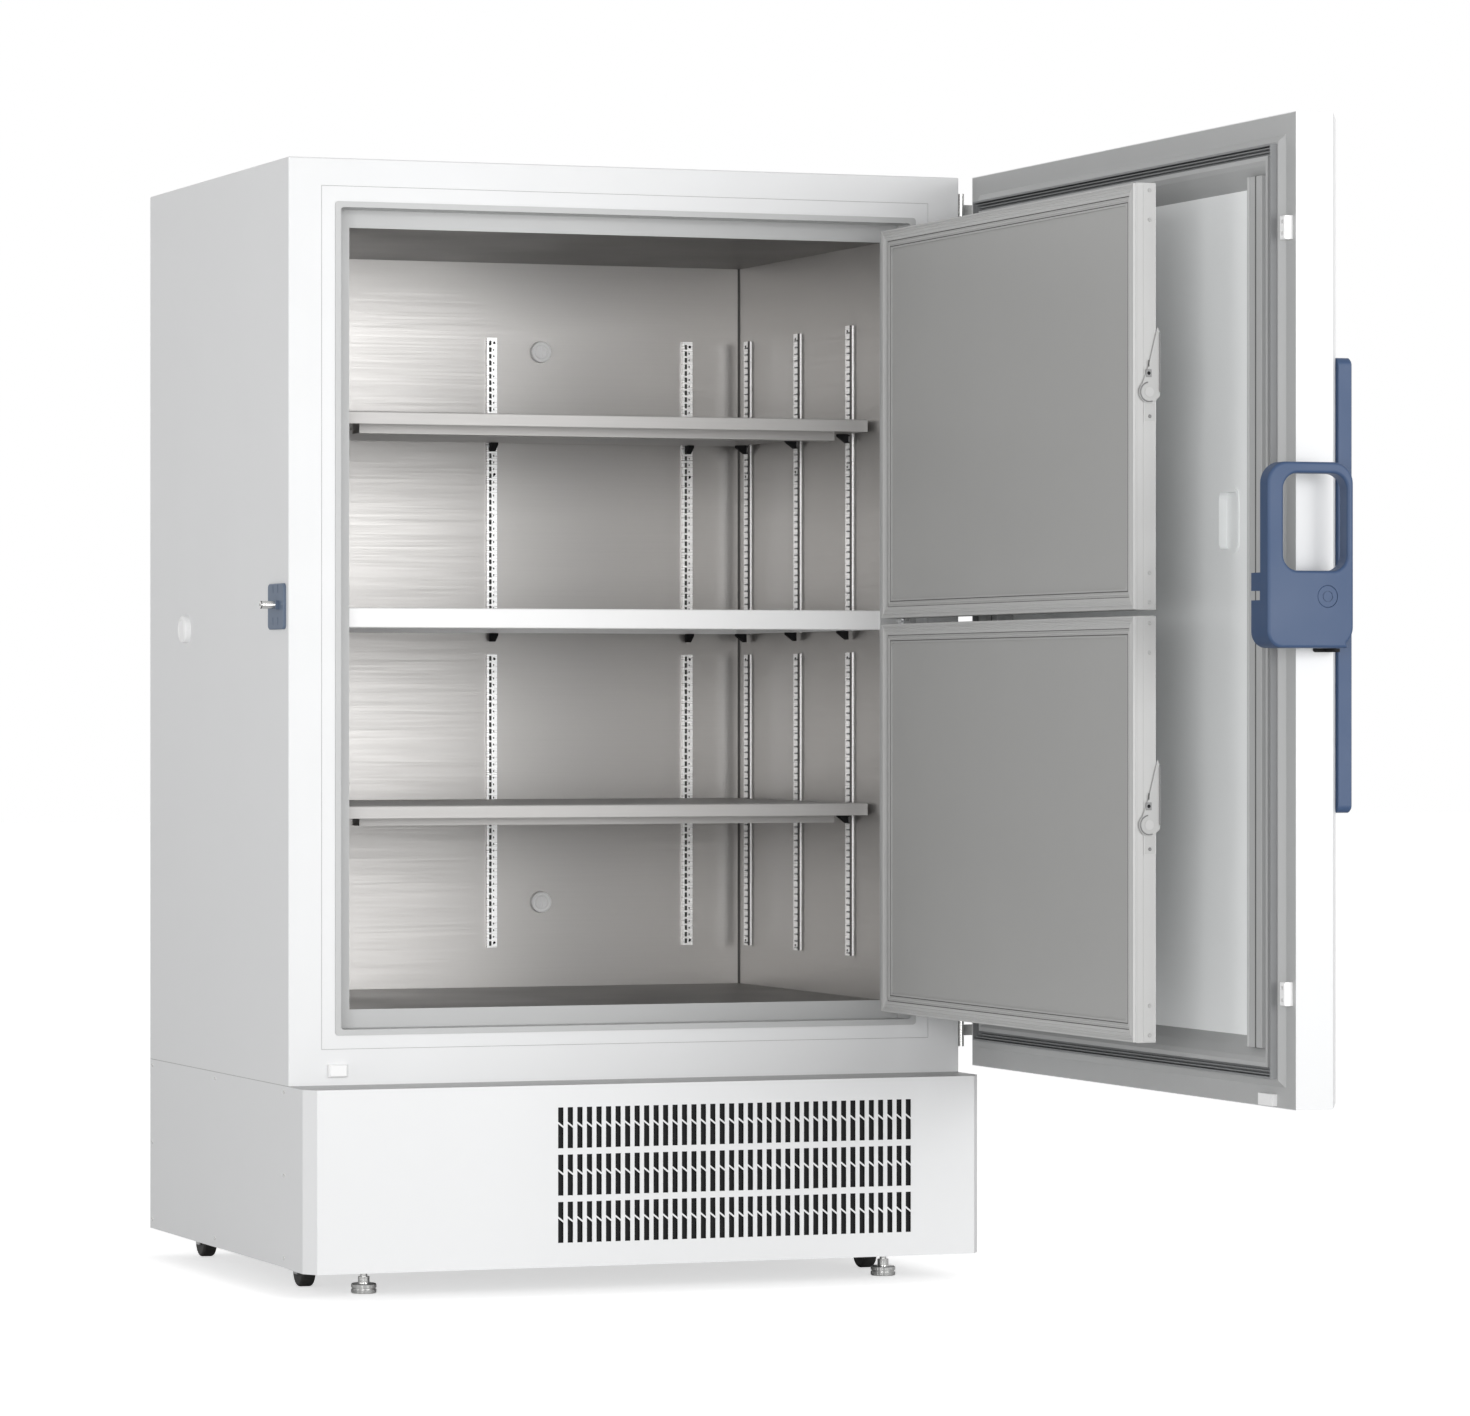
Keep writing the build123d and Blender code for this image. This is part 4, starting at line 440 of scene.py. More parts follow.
finishes = {
    "white_paint": finish(
        "white_paint", grain, color=(0.775, 0.78, 0.785), roughness=0.42, grain_scale=1100.0,
        grain_depth=0.04, tone_change=0.015,
        bands=[
            # painted shade: a thin grey line at the base seam stands in for the shade in its gap
            ((0.42, 0.42, 0.42), along_z, base_seam - hair, base_seam + 2 * hair),
            # painted shade: the white paint at the open door's free end, beyond door_end, is a step darker
            ((0.72, 0.725, 0.73), along_y, -beyond, door_end),
        ],
    ),
    "light_plastic": finish(
        "light_plastic", grain, color=(0.50, 0.505, 0.505), roughness=0.38, grain_depth=0.03,
        bands=[((0.92, 0.92, 0.92), along_y, plug_start, beyond)],
    ),
    "grey_plastic": finish(
        "grey_plastic", grain, color=(0.43, 0.435, 0.435), roughness=0.42, grain_depth=0.05,
    ),
    "pan_plastic": finish(
        "pan_plastic", grain, color=(0.50, 0.51, 0.51), roughness=0.4, grain_depth=0.03,
        # painted light: the pan of the outer door is far lighter than the frame, to make up for the light
        # the inner doors keep off it
        bands=[((0.90, 0.915, 0.915), along_x, pan_start, beyond)],
    ),
    "panel_plastic": finish(
        "panel_plastic", grain, color=(0.46, 0.46, 0.455), roughness=0.45, grain_depth=0.06,
        bands=[
            # painted shade: the recessed panel face of each inner door is a little darker than its frame
            ((0.41, 0.41, 0.403), along_x, panel_face - hair, panel_face + hair),
            # painted light: the back face of each inner door, towards the pan, is near white, lighter than
            # the rest of its shell
            ((0.85, 0.85, 0.85), along_x, door_back - hair, door_back + hair),
        ],
    ),
    "liner_steel": finish(
        "liner_steel", brushed, metallic=0.9, color=(0.24, 0.233, 0.225), roughness=0.38,
        # painted shade: only the liner's walls take the lighter tone; its ceiling and floor stay much
        # darker
        bands=[((0.445, 0.435, 0.425), along_z, liner_low + hair, liner_high - hair)],
    ),
    "shelf_steel": finish(
        "shelf_steel", brushed, metallic=0.3, color=(0.49, 0.48, 0.47), roughness=0.5, specular=0.3,
        line_scale=(6.0, 700.0, 700.0),
    ),
    "channel_steel": finish(
        "channel_steel", brushed, metallic=0.6, color=(0.98, 0.98, 0.98), roughness=0.3,
    ),
    "bright_steel": finish("bright_steel", brushed, metallic=1.0, color=(0.66, 0.66, 0.65), roughness=0.2),
    "satin_steel": finish(
        "satin_steel", brushed, metallic=0.2, specular=0.2, color=(0.43, 0.43, 0.425), roughness=0.55,
    ),
    "screw_steel": finish(
        "screw_steel", grain, metallic=0.3, specular=0.3, color=(0.22, 0.22, 0.22), roughness=0.5,
    ),
    # painted shade: this near-black finish paints the shade in the channels and grooves and in the liner's
    # rear corners, where it is also the corner sealant
    "sealant_and_shade": finish("sealant_and_shade", grain, color=(0.10, 0.098, 0.095), roughness=0.6),
    "zinc_steel": finish(
        "zinc_steel", grain, metallic=0.8, color=(0.62, 0.63, 0.64), roughness=0.4, tone_change=0.2,
        dusty=0.3,
    ),
    "white_plastic": finish("white_plastic", grain, color=(0.90, 0.90, 0.90), roughness=0.4),
    "blue_plastic": finish(
        "blue_plastic", grain, specular=0.35, color=(0.038, 0.071, 0.148), roughness=0.45, grain_depth=0.08,
        # painted light: blue parts on the left side, beyond strike_start, such as the strike plate, are a
        # lighter blue
        smudges=0.2, bands=[((0.125, 0.165, 0.235), along_x, -beyond, strike_start)],
    ),
    "dark_plastic": finish("dark_plastic", grain, specular=0.2, color=(0.012, 0.012, 0.013), roughness=0.7),
    "gasket_rubber": finish("gasket_rubber", grain, color=(0.24, 0.245, 0.25), roughness=0.55),
    "light_rubber": finish("light_rubber", grain, color=(0.52, 0.52, 0.515), roughness=0.5),
    "black_rubber": finish("black_rubber", grain, color=(0.010, 0.010, 0.010), roughness=0.6, dusty=0.12),
    "foam": finish(
        "foam", grain, color=(0.75, 0.62, 0.35), roughness=0.9, tone_change=0.2,
        # painted shade: the foam's front, seen in the seam round the front frame, is grey
        bands=[((0.40, 0.40, 0.40), along_y, foam_limit, foam_front)],
    ),
    "copper_pipe": finish(
        "copper_pipe", grain, metallic=1.0, color=(0.72, 0.38, 0.24), roughness=0.3, tone_change=0.15,
    ),
    "fin_aluminium": finish("fin_aluminium", grain, metallic=1.0, color=(0.7, 0.71, 0.72), roughness=0.35),
    "compressor_black": finish("compressor_black", grain, color=(0.02, 0.02, 0.022), roughness=0.35),
    "screen_glass": finish(
        "screen_glass", grain, color=(0.01, 0.012, 0.015), roughness=0.1, grain_depth=0.0,
    ),
}
print("finishes:", len(finishes))

# %% [markdown]
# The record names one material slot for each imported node, so the finishes go on by that table. The
# latches share the slot of the bright steel, but theirs is a duller sheet, so they get a satin finish.

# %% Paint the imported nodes
duller = ("lower_latch", "upper_latch")

for part in frame["record"]["subparts"]:
    chosen = "satin_steel" if part["node"] in duller else part["material_slot"]
    for slot in nodes[part["node"]].material_slots:
        slot.material = finishes[chosen]

# %% [markdown]
# The shelves hang in rolled steel channels. Those on the back wall have a column of long slots and a
# column of short ones, and those on the side walls have notches. Cutting hundreds of holes with a boolean
# is slow and leaves ragged faces. A flat grid whose rows and columns already lie on the slots' edges is
# quicker: the slot faces are deleted, the outer columns fold back to the wall, and solidify gives the
# sheet its thickness.

# %% Shelf channels


def add_piece(name, shape, slot, body, replaced=(), special=None):
    """Turns a finished bmesh into a piece with its slot's finish or a special one, riding on a body."""
    mesh = bpy.data.meshes.new(name)
    shape.to_mesh(mesh)
    shape.free()
    mesh.materials.append(finishes[special or slot])
    made = bpy.data.objects.new(name, mesh)
    bpy.context.scene.collection.objects.link(made)
    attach(made, body)
    for covered in replaced:
        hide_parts(covered)
    print(name, len(mesh.polygons), "faces")
    return made


channel_columns = (-0.01, -0.01, -0.006, -0.001, 0.002, 0.0045, 0.01, 0.01)
channel_depth = 0.007
channel_sheet = 0.0012
slot_pitch = 0.0125
slot_rows = (0.00175, 0.0045, 0.008, 0.01075)
long_column = 2
long_steps = (0, 1, 2)
short_column = 4
short_step = 1
notch_step = 0
liner_back = 0.311
liner_side = 0.504
channel_spans = ((0.572, 1.1255), (1.1645, 1.722))
back_places = (-0.3955, 0.0, 0.3955)
side_places = (0.26, 0.011, -0.238)


def add_channel(shape, place, turn, flip, low, high, notched):
    """One channel between two heights, facing away from its wall, with two slot columns or with notches."""
    count = int((high - low) / slot_pitch)
    first = low + (high - low - count * slot_pitch) / 2
    levels = [low] + [first + n * slot_pitch + row for n in range(count) for row in slot_rows] + [high]
    columns = len(channel_columns) - 1
    rows = len(levels) - 1
    grid = bmesh.ops.create_grid(shape, x_segments=columns, y_segments=rows, size=0.5)["verts"]
    index = {v: (round((v.co.x + 0.5) * columns), round((v.co.y + 0.5) * rows)) for v in grid}
    faces = {f for v in grid for f in v.link_faces}
    holes = []
    for face in faces:
        column = min(index[v][0] for v in face.verts)
        row = min(index[v][1] for v in face.verts)
        step = (row - 1) % len(slot_rows) if 0 < row < rows - 1 else None
        long_slot = column == long_column and step in long_steps
        short_slot = column == short_column and step == short_step
        notch = step == notch_step and 0 < column < columns - 2
        hole = notch if notched else (long_slot or short_slot)
        if hole:
            holes.append(face)
    for v, (column, row) in index.items():
        out = 0 if column in (0, columns) else channel_depth
        v.co = (flip * channel_columns[column], -out, levels[row])
    bmesh.ops.delete(shape, geom=holes, context="FACES_ONLY")
    kept = [f for f in faces if f.is_valid]
    bmesh.ops.transform(shape, matrix=Matrix.Translation(place) @ Matrix.Rotation(turn, 4, "Z"), verts=grid)
    bmesh.ops.recalc_face_normals(shape, faces=kept)
    return kept


shape = bmesh.new()
sheets = []
for low, high in channel_spans:
    for x in back_places:
        sheets += add_channel(shape, (x, liner_back, 0), 0, 1, low, high, False)
    for y in side_places:
        for side in (1, -1):
            place = (side * liner_side, y, 0)
            sheets += add_channel(shape, place, -side * math.pi / 2, -side, low, high, True)
bmesh.ops.solidify(shape, geom=sheets, thickness=channel_sheet)
bmesh.ops.recalc_face_normals(shape, faces=shape.faces)
channels = add_piece("shelf_channels", shape, "shelf_steel", "cabinet", ["shelf_strips"], "channel_steel")

# %% [markdown]
# Behind the slots it is dark, because little light gets into a narrow channel. A thin near-black sheet
# inside each channel paints that shade, in the same dark finish as the liner's corners, and keeps the
# slots readable from afar. On the side walls the channels are seen at a slant, so a fine dark strip on
# the near flank paints the shade there and sets each off from the wall.

# %% Channel shade sheets
shade_sheet_depth = 0.0012
shade_sheet_half = 0.0085
flank_shade_width = 0.0004
flank_shade_start = 0.0025


def add_shade_sheet(shape, place, turn, low, high):
    """A thin dark sheet inside a channel, which paints the shade behind the slots."""
    verts = bmesh.ops.create_grid(shape, x_segments=1, y_segments=1, size=0.5)["verts"]
    for v in verts:
        v.co = (2 * shade_sheet_half * v.co.x, -shade_sheet_depth, low + (high - low) * (v.co.y + 0.5))
    matrix = Matrix.Translation(place) @ Matrix.Rotation(turn, 4, "Z")
    bmesh.ops.transform(shape, matrix=matrix, verts=verts)
    return list({f for v in verts for f in v.link_faces})


shape = bmesh.new()
shade_sheets = []
for low, high in channel_spans:
    for x in back_places:
        shade_sheets += add_shade_sheet(shape, (x, liner_back, 0), 0, low, high)
    for y in side_places:
        for side in (1, -1):
            shade_sheets += add_shade_sheet(shape, (side * liner_side, y, 0), -side * math.pi / 2, low, high)
bmesh.ops.solidify(shape, geom=shade_sheets, thickness=shade_sheet_depth / 2)
# The flank strips below paint the shade on the near flank of each side channel.
for low, high in channel_spans:
    for y in side_places:
        for side in (-1, 1):
            near = y - channel_columns[-1] - flank_shade_width
            ends = sorted((side * (liner_side - flank_shade_start), side * (liner_side - channel_depth)))
            strip = bmesh.ops.create_cube(shape, size=1)["verts"]
            for v in strip:
                v.co = (
                    ends[0] + (ends[1] - ends[0]) * (v.co.x + 0.5),
                    near + flank_shade_width * (v.co.y + 0.5),
                    low + (high - low) * (v.co.z + 0.5),
                )
bmesh.ops.recalc_face_normals(shape, faces=shape.faces)
add_piece("channel_shade_sheets", shape, "dark_plastic", "cabinet", special="sealant_and_shade")

# %% [markdown]
# The liner is folded from sheet, and a dark bead seals each of its two rear corners; its near-black
# wedge also paints the shade in the corner. A swept round bead would be truer close up, but only its
# width shows from afar, so each is a three-sided wedge that runs the full height of the liner.

# %% Corner seams and corner shade of the liner
seam_shade_leg = 0.0032

shape = bmesh.new()
for side in (-1, 1):
    corner = Vector((side * liner_side, liner_back, liner_low))
    legs = [corner, corner - Vector((side * seam_shade_leg, 0, 0)), corner - Vector((0, seam_shade_leg, 0))]
    wedge = bmesh.ops.contextual_create(shape, geom=[shape.verts.new(p) for p in legs])["faces"]
    risen = bmesh.ops.extrude_face_region(shape, geom=wedge)["geom"]
    top = [v for v in risen if isinstance(v, bmesh.types.BMVert)]
    bmesh.ops.translate(shape, verts=top, vec=(0, 0, liner_high - liner_low))
bmesh.ops.recalc_face_normals(shape, faces=shape.faces)
add_piece("liner_seam_shades", shape, "gasket_rubber", "cabinet", special="sealant_and_shade")

# %% [markdown]
# Small screws hold the side panels of the base and the rear panel. A pan head is a low cone whose flat
# top is sunk inside its rim, as a drive socket is. One function makes it, and each group of screws is
# one piece. Their places are columns and levels, because that is how a panel is drilled.

# %% Screws of the base and the rear
screw_sides = 12
screw_top_share = 0.75
screw_socket_share = 0.45
screw_socket_depth = 0.6


def add_screw(shape, place, facing, radius, height):
    """A pan head that stands on a surface and faces along a direction."""
    turn = Vector(facing).to_track_quat("Z", "Y").to_matrix().to_4x4()
    matrix = Matrix.Translation(place) @ turn @ Matrix.Translation((0, 0, height / 2))
    verts = bmesh.ops.create_cone(
        shape,
        cap_ends=True,
        segments=screw_sides,
        radius1=radius,
        radius2=radius * screw_top_share,
        depth=height,
        matrix=matrix,
    )["verts"]
    faces = {f for v in verts for f in v.link_faces}
    top = max(faces, key=lambda f: f.calc_center_median().dot(Vector(facing)))
    bmesh.ops.inset_region(shape, faces=[top], thickness=radius * screw_socket_share)
    bmesh.ops.translate(shape, verts=top.verts, vec=Vector(facing) * -height * screw_socket_depth)


side_x = 0.633
base_screw = (0.0035, 0.0012)
end_levels = (0.069, 0.213, 0.357)
middle_levels = (0.068, 0.356)
shape = bmesh.new()
for y, levels in ((-0.405, end_levels), (0.011, middle_levels), (0.418, end_levels)):
    for z in levels:
        for side in (-1, 1):
            add_screw(shape, (side * side_x, y, z), (side, 0, 0), *base_screw)
add_piece("base_side_screws", shape, "bright_steel", "cabinet")

rear_y = 0.431
rear_half = 0.612
rear_low = 0.385
rear_pitch = 0.2235
rear_count = 8
rear_columns = (-0.4, 0.0, 0.4)
rear_rows = (0.388, 1.962, 0.07, 0.352)
rear_places = [(side * rear_half, rear_low + n * rear_pitch) for n in range(rear_count) for side in (-1, 1)]
rear_places += [(x, z) for x in rear_columns for z in rear_rows]
shape = bmesh.new()
for x, z in rear_places:
    add_screw(shape, (x, rear_y, z), (0, 1, 0), *base_screw)
add_piece("rear_screws", shape, "bright_steel", "cabinet")

# %% [markdown]
# Each cabinet hinge has three larger screws in the side of the cabinet. The shelf channels have small
# dark ones in their faces. The same function makes both, with other sizes and directions.

# %% Screws of the hinges and the channels
hinge_face = 0.6355
hinge_screw_y = -0.404
hinge_screw = (0.004, 0.0012)
hinge_starts = (0.414, 1.771)
hinge_steps = (0.025, 0.09, 0.155)
shape = bmesh.new()
for start in hinge_starts:
    for step in hinge_steps:
        add_screw(shape, (hinge_face, hinge_screw_y, start + step), (1, 0, 0), *hinge_screw)
add_piece("hinge_screws", shape, "bright_steel", "cabinet")

channel_screw_levels = (1.7125, 1.4645, 1.1165, 0.5815)
channel_screw_offset = 0.0045
back_screw = (0.0026, 0.0010)
side_screw = (0.0022, 0.0010)
shape = bmesh.new()
for z in channel_screw_levels:
    for x in back_places:
        add_screw(shape, (x + channel_screw_offset, liner_back - channel_depth, z), (0, -1, 0), *back_screw)
    for y in side_places:
        for side in (-1, 1):
            add_screw(shape, (side * (liner_side - channel_depth), y, z), (-side, 0, 0), *side_screw)
add_piece("channel_screws", shape, "dark_plastic", "cabinet")

# %% [markdown]
# The buffer blocks of the outer door have two dark screws each, and the end strip of an inner door has
# four pale ones. They ride on their own door, so they swing with it.

# %% Screws of the doors
block_recess_face = 0.6494
block_screw_y = -1.6837
block_screw = (0.003, 0.001)
block_screw_levels = (0.5565, 0.5755, 1.7855, 1.8045)
shape = bmesh.new()
for z in block_screw_levels:
    add_screw(shape, (block_recess_face, block_screw_y, z), (-1, 0, 0), *block_screw)
add_piece("block_screws", shape, "dark_plastic", "outer_door")

inner_doors = (("lower", 0.4795, 1.1745), ("upper", 1.1845, 1.8795))
strip_screw_x = 0.507
strip_face = -1.4786
strip_screw = (0.0034, 0.0008)
strip_insets = (0.012, 0.060)
for name, low, high in inner_doors:
    shape = bmesh.new()
    for inset in strip_insets:
        for z in (low + inset, high - inset):
            add_screw(shape, (strip_screw_x, strip_face, z), (0, -1, 0), *strip_screw)
    add_piece(f"{name}_strip_screws", shape, "bright_steel", f"{name}_inner_door", special="satin_steel")

# %% [markdown]
# The cold face of an inner door is a moulding with raised beads between the gasket and the panel. Each
# bead is a flat frame that is raised and rounded. Between them, thinner frames in the near-black finish
# stand barely proud of the face and paint the shade of the grooves.

# %% Beads of the inner doors
cold_face = 0.483
door_near = -1.4775
door_far = -0.438
bead_offsets = (0.0145, 0.0245)
bead_width = 0.0035
bead_height = 0.0016
bead_round_share = 0.6
ridge_angle = 1
# The groove frames are painted shade: near-black strips where the grooves' shade falls.
groove_shade_offsets = (0.0105, 0.0195, 0.0295)
groove_shade_width = 0.0022
groove_shade_height = 0.0003


def add_frame(shape, low, high, offset, width, height):
    """A raised rectangular frame on the cold face of an inner door, inset from its edges."""
    verts = bmesh.ops.create_grid(shape, x_segments=1, y_segments=1, size=0.5)["verts"]
    middle = Vector((cold_face, (door_near + door_far) / 2, (low + high) / 2))
    size = (door_far - door_near - 2 * offset, high - low - 2 * offset)
    for v in verts:
        v.co = middle + Vector((0, size[0] * v.co.x, size[1] * v.co.y))
    face = list({f for v in verts for f in v.link_faces})
    shape.normal_update()
    rim = bmesh.ops.inset_region(shape, faces=face, thickness=width, use_boundary=True)["faces"]
    bmesh.ops.delete(shape, geom=face, context="FACES_ONLY")
    raised = bmesh.ops.extrude_face_region(shape, geom=rim)["geom"]
    lifted = [v for v in raised if isinstance(v, bmesh.types.BMVert)]
    bmesh.ops.translate(shape, verts=lifted, vec=(-height, 0, 0))
    return [e for e in raised if isinstance(e, bmesh.types.BMEdge)]


for name, low, high in inner_doors:
    shape = bmesh.new()
    for offset in bead_offsets:
        ridge = add_frame(shape, low, high, offset, bead_width, bead_height)
        ridge = [e for e in ridge if e.is_valid and len(e.link_faces) == 2]
        ridge = [e for e in ridge if e.calc_face_angle() > ridge_angle]
        rounding = bead_height * bead_round_share
        bmesh.ops.bevel(
            shape, geom=ridge, offset=rounding, segments=3, profile=0.5, affect="EDGES", material=-1,
        )
    bmesh.ops.recalc_face_normals(shape, faces=shape.faces)
    add_piece(f"{name}_door_beads", shape, "light_rubber", f"{name}_inner_door")
    shape = bmesh.new()
    for offset in groove_shade_offsets:
        add_frame(shape, low, high, offset, groove_shade_width, groove_shade_height)
    bmesh.ops.recalc_face_normals(shape, faces=shape.faces)
    add_piece(f"{name}_door_groove_shades", shape, "gasket_rubber", f"{name}_inner_door", special="sealant_and_shade")

# %% [markdown]
# On the outer door a flat rail runs up each side of the pan, between the pan and the gasket. Its inner
# edge carries a light bead, and on its outer part a thin near-black plate paints the shade of a groove.
# Both come from long plates with rounded edges.

# %% Rails of the outer door
rail_face = 0.643
pan_face = 0.6717
rail_low = 0.475
rail_high = 1.885
rail_width = 0.05
rail_round = 0.0015
dam_edges = (-1.6087, -0.5327)
rail_bead = 0.009
rail_bead_rise = 0.002
rail_bead_round = 0.0012
# The groove plates paint the shade of a groove on each rail.
rail_groove_shade = (0.028, 0.032)
rail_groove_shade_rise = 0.0003
rail_groove_shade_round = 0.0001
rail_sunk = 0.001


def add_plate(shape, low, high, rounding):
    """A sheet with rounded edges, between two corners."""
    verts = bmesh.ops.create_cube(shape, size=1)["verts"]
    middle = (Vector(low) + Vector(high)) / 2
    size = Vector(high) - Vector(low)
    bmesh.ops.transform(shape, matrix=Matrix.Translation(middle) @ Matrix.Diagonal((*size, 1)), verts=verts)
    edges = list({e for v in verts for e in v.link_edges})
    bmesh.ops.bevel(
        shape, geom=edges, offset=rounding, segments=2, profile=0.5, affect="EDGES", material=-1,
    )


def between(edge, inward, start, end):
    """Two places at distances from an edge, in rising order."""
    return sorted((edge + inward * start, edge + inward * end))


rails = bmesh.new()
beads = bmesh.new()
groove_shades = bmesh.new()
for edge, inward in zip(dam_edges, (1, -1)):
    y0, y1 = between(edge, inward, 0, rail_width)
    add_plate(rails, (rail_face, y0, rail_low), (pan_face, y1, rail_high), rail_round)
    y0, y1 = between(edge, inward, rail_width - rail_bead, rail_width - rail_bead / 4)
    back = rail_face + rail_sunk
    add_plate(beads, (rail_face - rail_bead_rise, y0, rail_low), (back, y1, rail_high), rail_bead_round)
    y0, y1 = between(edge, inward, *(rail_width - r for r in rail_groove_shade))
    front = rail_face - rail_groove_shade_rise
    add_plate(groove_shades, (front, y0, rail_low), (back, y1, rail_high), rail_groove_shade_round)
add_piece("door_rails", rails, "grey_plastic", "outer_door")
add_piece("door_rail_beads", beads, "light_plastic", "outer_door")
add_piece("door_rail_groove_shades", groove_shades, "gasket_rubber", "outer_door", special="sealant_and_shade")

# %% [markdown]
# The plugs of the ports are moulded with raised rings, two on each liner plug and one on the cap
# outside. A ring could come from a torus, but a small circle spun round the plug's axis also makes the
# open bails further on.

# %% Port plug rings
ring_sides = 8
ring_steps = 40
ring_wire = 0.0012
plug_x = 0.099
plug_face = 0.303
plug_levels = (0.657, 1.697)
plug_radii = (0.0185, 0.0125)
cap_place = (-0.644, 0.189, 1.168)


def add_ring(shape, centre, axis, radius, wire, turn=math.tau, start=0.0):
    """A round wire bent round an axis, whole or in part."""
    upright = Vector(axis).to_track_quat("Z", "Y").to_matrix()
    across = upright @ Matrix.Rotation(start, 3, "Z") @ Vector((1, 0, 0))
    along = Vector(axis).cross(across)
    facing = along.to_track_quat("Z", "Y").to_matrix().to_4x4()
    ends = turn < math.tau
    circle = bmesh.ops.create_circle(
        shape, cap_ends=ends, segments=ring_sides, radius=wire,
        matrix=Matrix.Translation(Vector(centre) + across * radius) @ facing,
    )["verts"]
    edges = {e for v in circle for e in v.link_edges}
    faces = {f for v in circle for f in v.link_faces}
    geometry = circle + list(edges) + list(faces)
    bmesh.ops.spin(
        shape, geom=geometry, cent=centre, axis=axis, angle=turn, steps=ring_steps, use_merge=not ends,
    )


shape = bmesh.new()
for z in plug_levels:
    for radius in plug_radii:
        add_ring(shape, (plug_x, plug_face, z), (0, 1, 0), radius, ring_wire)
add_ring(shape, cap_place, (1, 0, 0), plug_radii[0], ring_wire)
bmesh.ops.recalc_face_normals(shape, faces=shape.faces)
add_piece("plug_rings", shape, "white_plastic", "cabinet")

# %% [markdown]
# The levelling feet are turned steel discs with a knurled rim for the fingers. Knurling is many small
# grooves: on a ring of many sides every second edge moves inward, which catches light as the real teeth
# do.

# %% Knurled rims of the feet
rim_radius = 0.0223
tooth_depth = 0.0007
rim_sides = 72
rim_levels = ((0.0016, 0.007), (0.0105, 0.0159))
foot_columns = (-0.476, 0.5105)
foot_y = -0.371
shape = bmesh.new()
for x in foot_columns:
    for low, high in rim_levels:
        centre = Vector((x, foot_y, (low + high) / 2))
        rim = bmesh.ops.create_cone(
            shape,
            cap_ends=True,
            segments=rim_sides,
            radius1=rim_radius,
            radius2=rim_radius,
            depth=high - low,
            matrix=Matrix.Translation(centre),
        )["verts"]
        for v in rim:
            out = Vector((v.co.x - x, v.co.y - foot_y, 0))
            turn = math.atan2(out.y, out.x) / math.tau * rim_sides
            if round(turn) % 2:
                v.co -= out.normalized() * tooth_depth
add_piece("foot_rims", shape, "bright_steel", "cabinet")

# %% [markdown]
# Each inner door has a pressed latch. Its packed lever gets the parts that give it its look: a wire
# bail that curls round the pivot, a square washer plate with a screw, a folded edge along the blade and
# a thin dark sheet at its foot that paints the shade of a slot. They ride on the lever. The keeper plate
# below it, with a screw of its own, stays on the door.

# %% Latch details
latch_x = 0.505
lever_face = -1.4814
latch_pivots = (("lower", 0.834), ("upper", 1.539))
bail_radius = 0.0158
bail_wire = 0.0011
bail_turn = math.radians(190)
bail_start = math.radians(100)
plate_round = 0.0003
washer_sides = (0.499, 0.509)
washer_rise = (0.024, 0.037)
washer_sheet = 0.0009
fold_sides = (0.5224, 0.524)
fold_rise = (0.0, 0.097)
fold_sheet = 0.002
washer_screw_place = (0.504, 0.0305)
washer_screw = (0.003, 0.0008)
# The slot sheet is painted shade: a thin dark plate where a slot would be in shade.
slot_shade_sides = (0.5035, 0.5050)
slot_shade_rise = (0.041, 0.052)
slot_shade_sheet = 0.0004
keeper_face = -1.4793
keeper_sheet = 0.0011
keeper_sides = (0.4985, 0.5155)
keeper_rise = (-0.047, -0.0188)
keeper_screw_drop = 0.0395
keeper_screw = (0.0032, 0.0009)


def add_sheet(shape, sides, rise, level, face, sheet, rounding):
    """An upright plate that stands off a face towards the front, at heights given from the pivot."""
    low = (sides[0], face - sheet, level + rise[0])
    add_plate(shape, low, (sides[1], face, level + rise[1]), rounding)


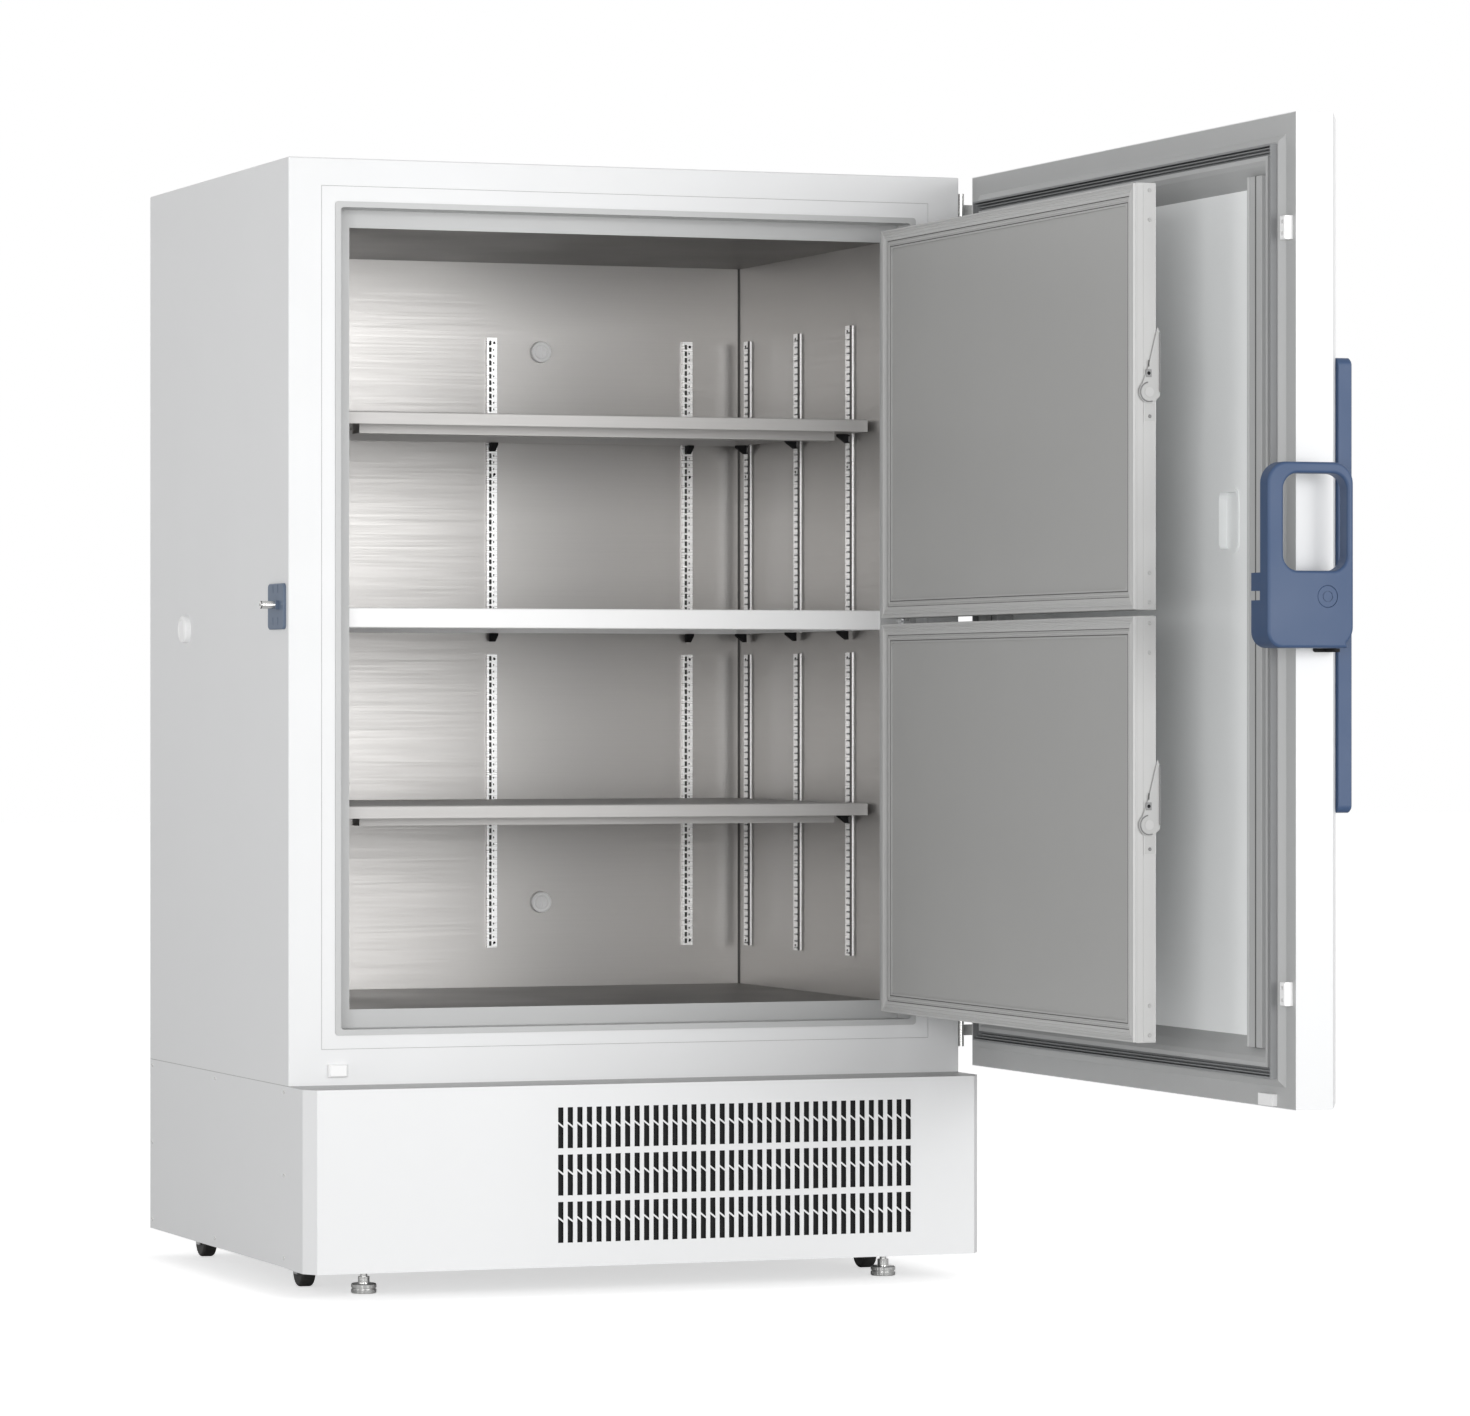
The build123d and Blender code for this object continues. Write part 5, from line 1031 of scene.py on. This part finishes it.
for name, pivot in latch_pivots:
    shape = bmesh.new()
    centre = (latch_x, lever_face - bail_wire / 2, pivot)
    add_ring(shape, centre, (0, -1, 0), bail_radius, bail_wire, bail_turn, bail_start)
    add_sheet(shape, washer_sides, washer_rise, pivot, lever_face, washer_sheet, plate_round)
    add_sheet(shape, fold_sides, fold_rise, pivot, lever_face, fold_sheet, plate_round)
    bmesh.ops.recalc_face_normals(shape, faces=shape.faces)
    add_piece(f"{name}_latch_fittings", shape, "bright_steel", f"{name}_latch", special="screw_steel")
    shape = bmesh.new()
    x, rise = washer_screw_place
    add_screw(shape, (x, lever_face - washer_sheet, pivot + rise), (0, -1, 0), *washer_screw)
    add_sheet(shape, slot_shade_sides, slot_shade_rise, pivot, lever_face, slot_shade_sheet, plate_round / 2)
    add_piece(f"{name}_latch_marks", shape, "dark_plastic", f"{name}_latch")
    shape = bmesh.new()
    keeper_back = keeper_face + keeper_sheet
    add_sheet(shape, keeper_sides, keeper_rise, pivot, keeper_back, keeper_sheet, plate_round)
    add_piece(f"{name}_keeper", shape, "bright_steel", f"{name}_inner_door", special="satin_steel")
    shape = bmesh.new()
    place = (strip_screw_x, keeper_face, pivot - keeper_screw_drop)
    add_screw(shape, place, (0, -1, 0), *keeper_screw)
    add_piece(f"{name}_keeper_screw", shape, "bright_steel", f"{name}_inner_door", special="screw_steel")

# %% [markdown]
# The strike plate on the left side is moulded with four small sunk slots, and the end of its pin
# carries a dark snap ring. The slots could be darkened by their finish alone. A thin dark plate with
# rounded edges on the floor of each slot paints the shade there instead, because little light gets in,
# and reads better from afar.

# %% Strike plate details
slot_floor = -0.6355
strike_middle = (-0.371, 1.2036)
strike_slot_gap = (0.014, 0.028)
strike_slot = (0.0014, 0.0062)
strike_relief = 0.0006
pin_ring_place = (-0.6685, -0.384, 1.2036)
pin_ring = 0.0061
pin_wire = 0.0009
shape = bmesh.new()
for across in (-1, 1):
    for up in (-1, 1):
        y = strike_middle[0] + across * strike_slot_gap[0]
        z = strike_middle[1] + up * strike_slot_gap[1]
        low = (slot_floor - strike_relief, y - strike_slot[0], z - strike_slot[1])
        high = (slot_floor + strike_relief, y + strike_slot[0], z + strike_slot[1])
        add_plate(shape, low, high, strike_relief / 2)
add_ring(shape, pin_ring_place, (1, 0, 0), pin_ring, pin_wire)
bmesh.ops.recalc_face_normals(shape, faces=shape.faces)
add_piece("strike_details", shape, "dark_plastic", "cabinet")

# %% [markdown]
# Three small indicator lamps sit under the blank screen. A lens could be turned from a profile, but a
# sphere flattened along the door's thickness gives the same smooth dome.

# %% Indicator lamps
bezel_front = 0.7577
bezel_centre = -1.6287
lens_level = 1.248
lens_pitch = 0.032
lens_radius = 0.0035
lens_flatness = 0.25
lens_sides = 20
lens_rings = 10
shape = bmesh.new()
for step in (-lens_pitch, 0, lens_pitch):
    lens = bmesh.ops.create_uvsphere(
        shape, u_segments=lens_sides, v_segments=lens_rings, radius=lens_radius,
    )["verts"]
    place = Matrix.Translation((bezel_front, bezel_centre + step, lens_level))
    bmesh.ops.transform(shape, matrix=place @ Matrix.Diagonal((lens_flatness, 1, 1, 1)), verts=lens)
add_piece("indicator_lamps", shape, "screen_glass", "outer_door")
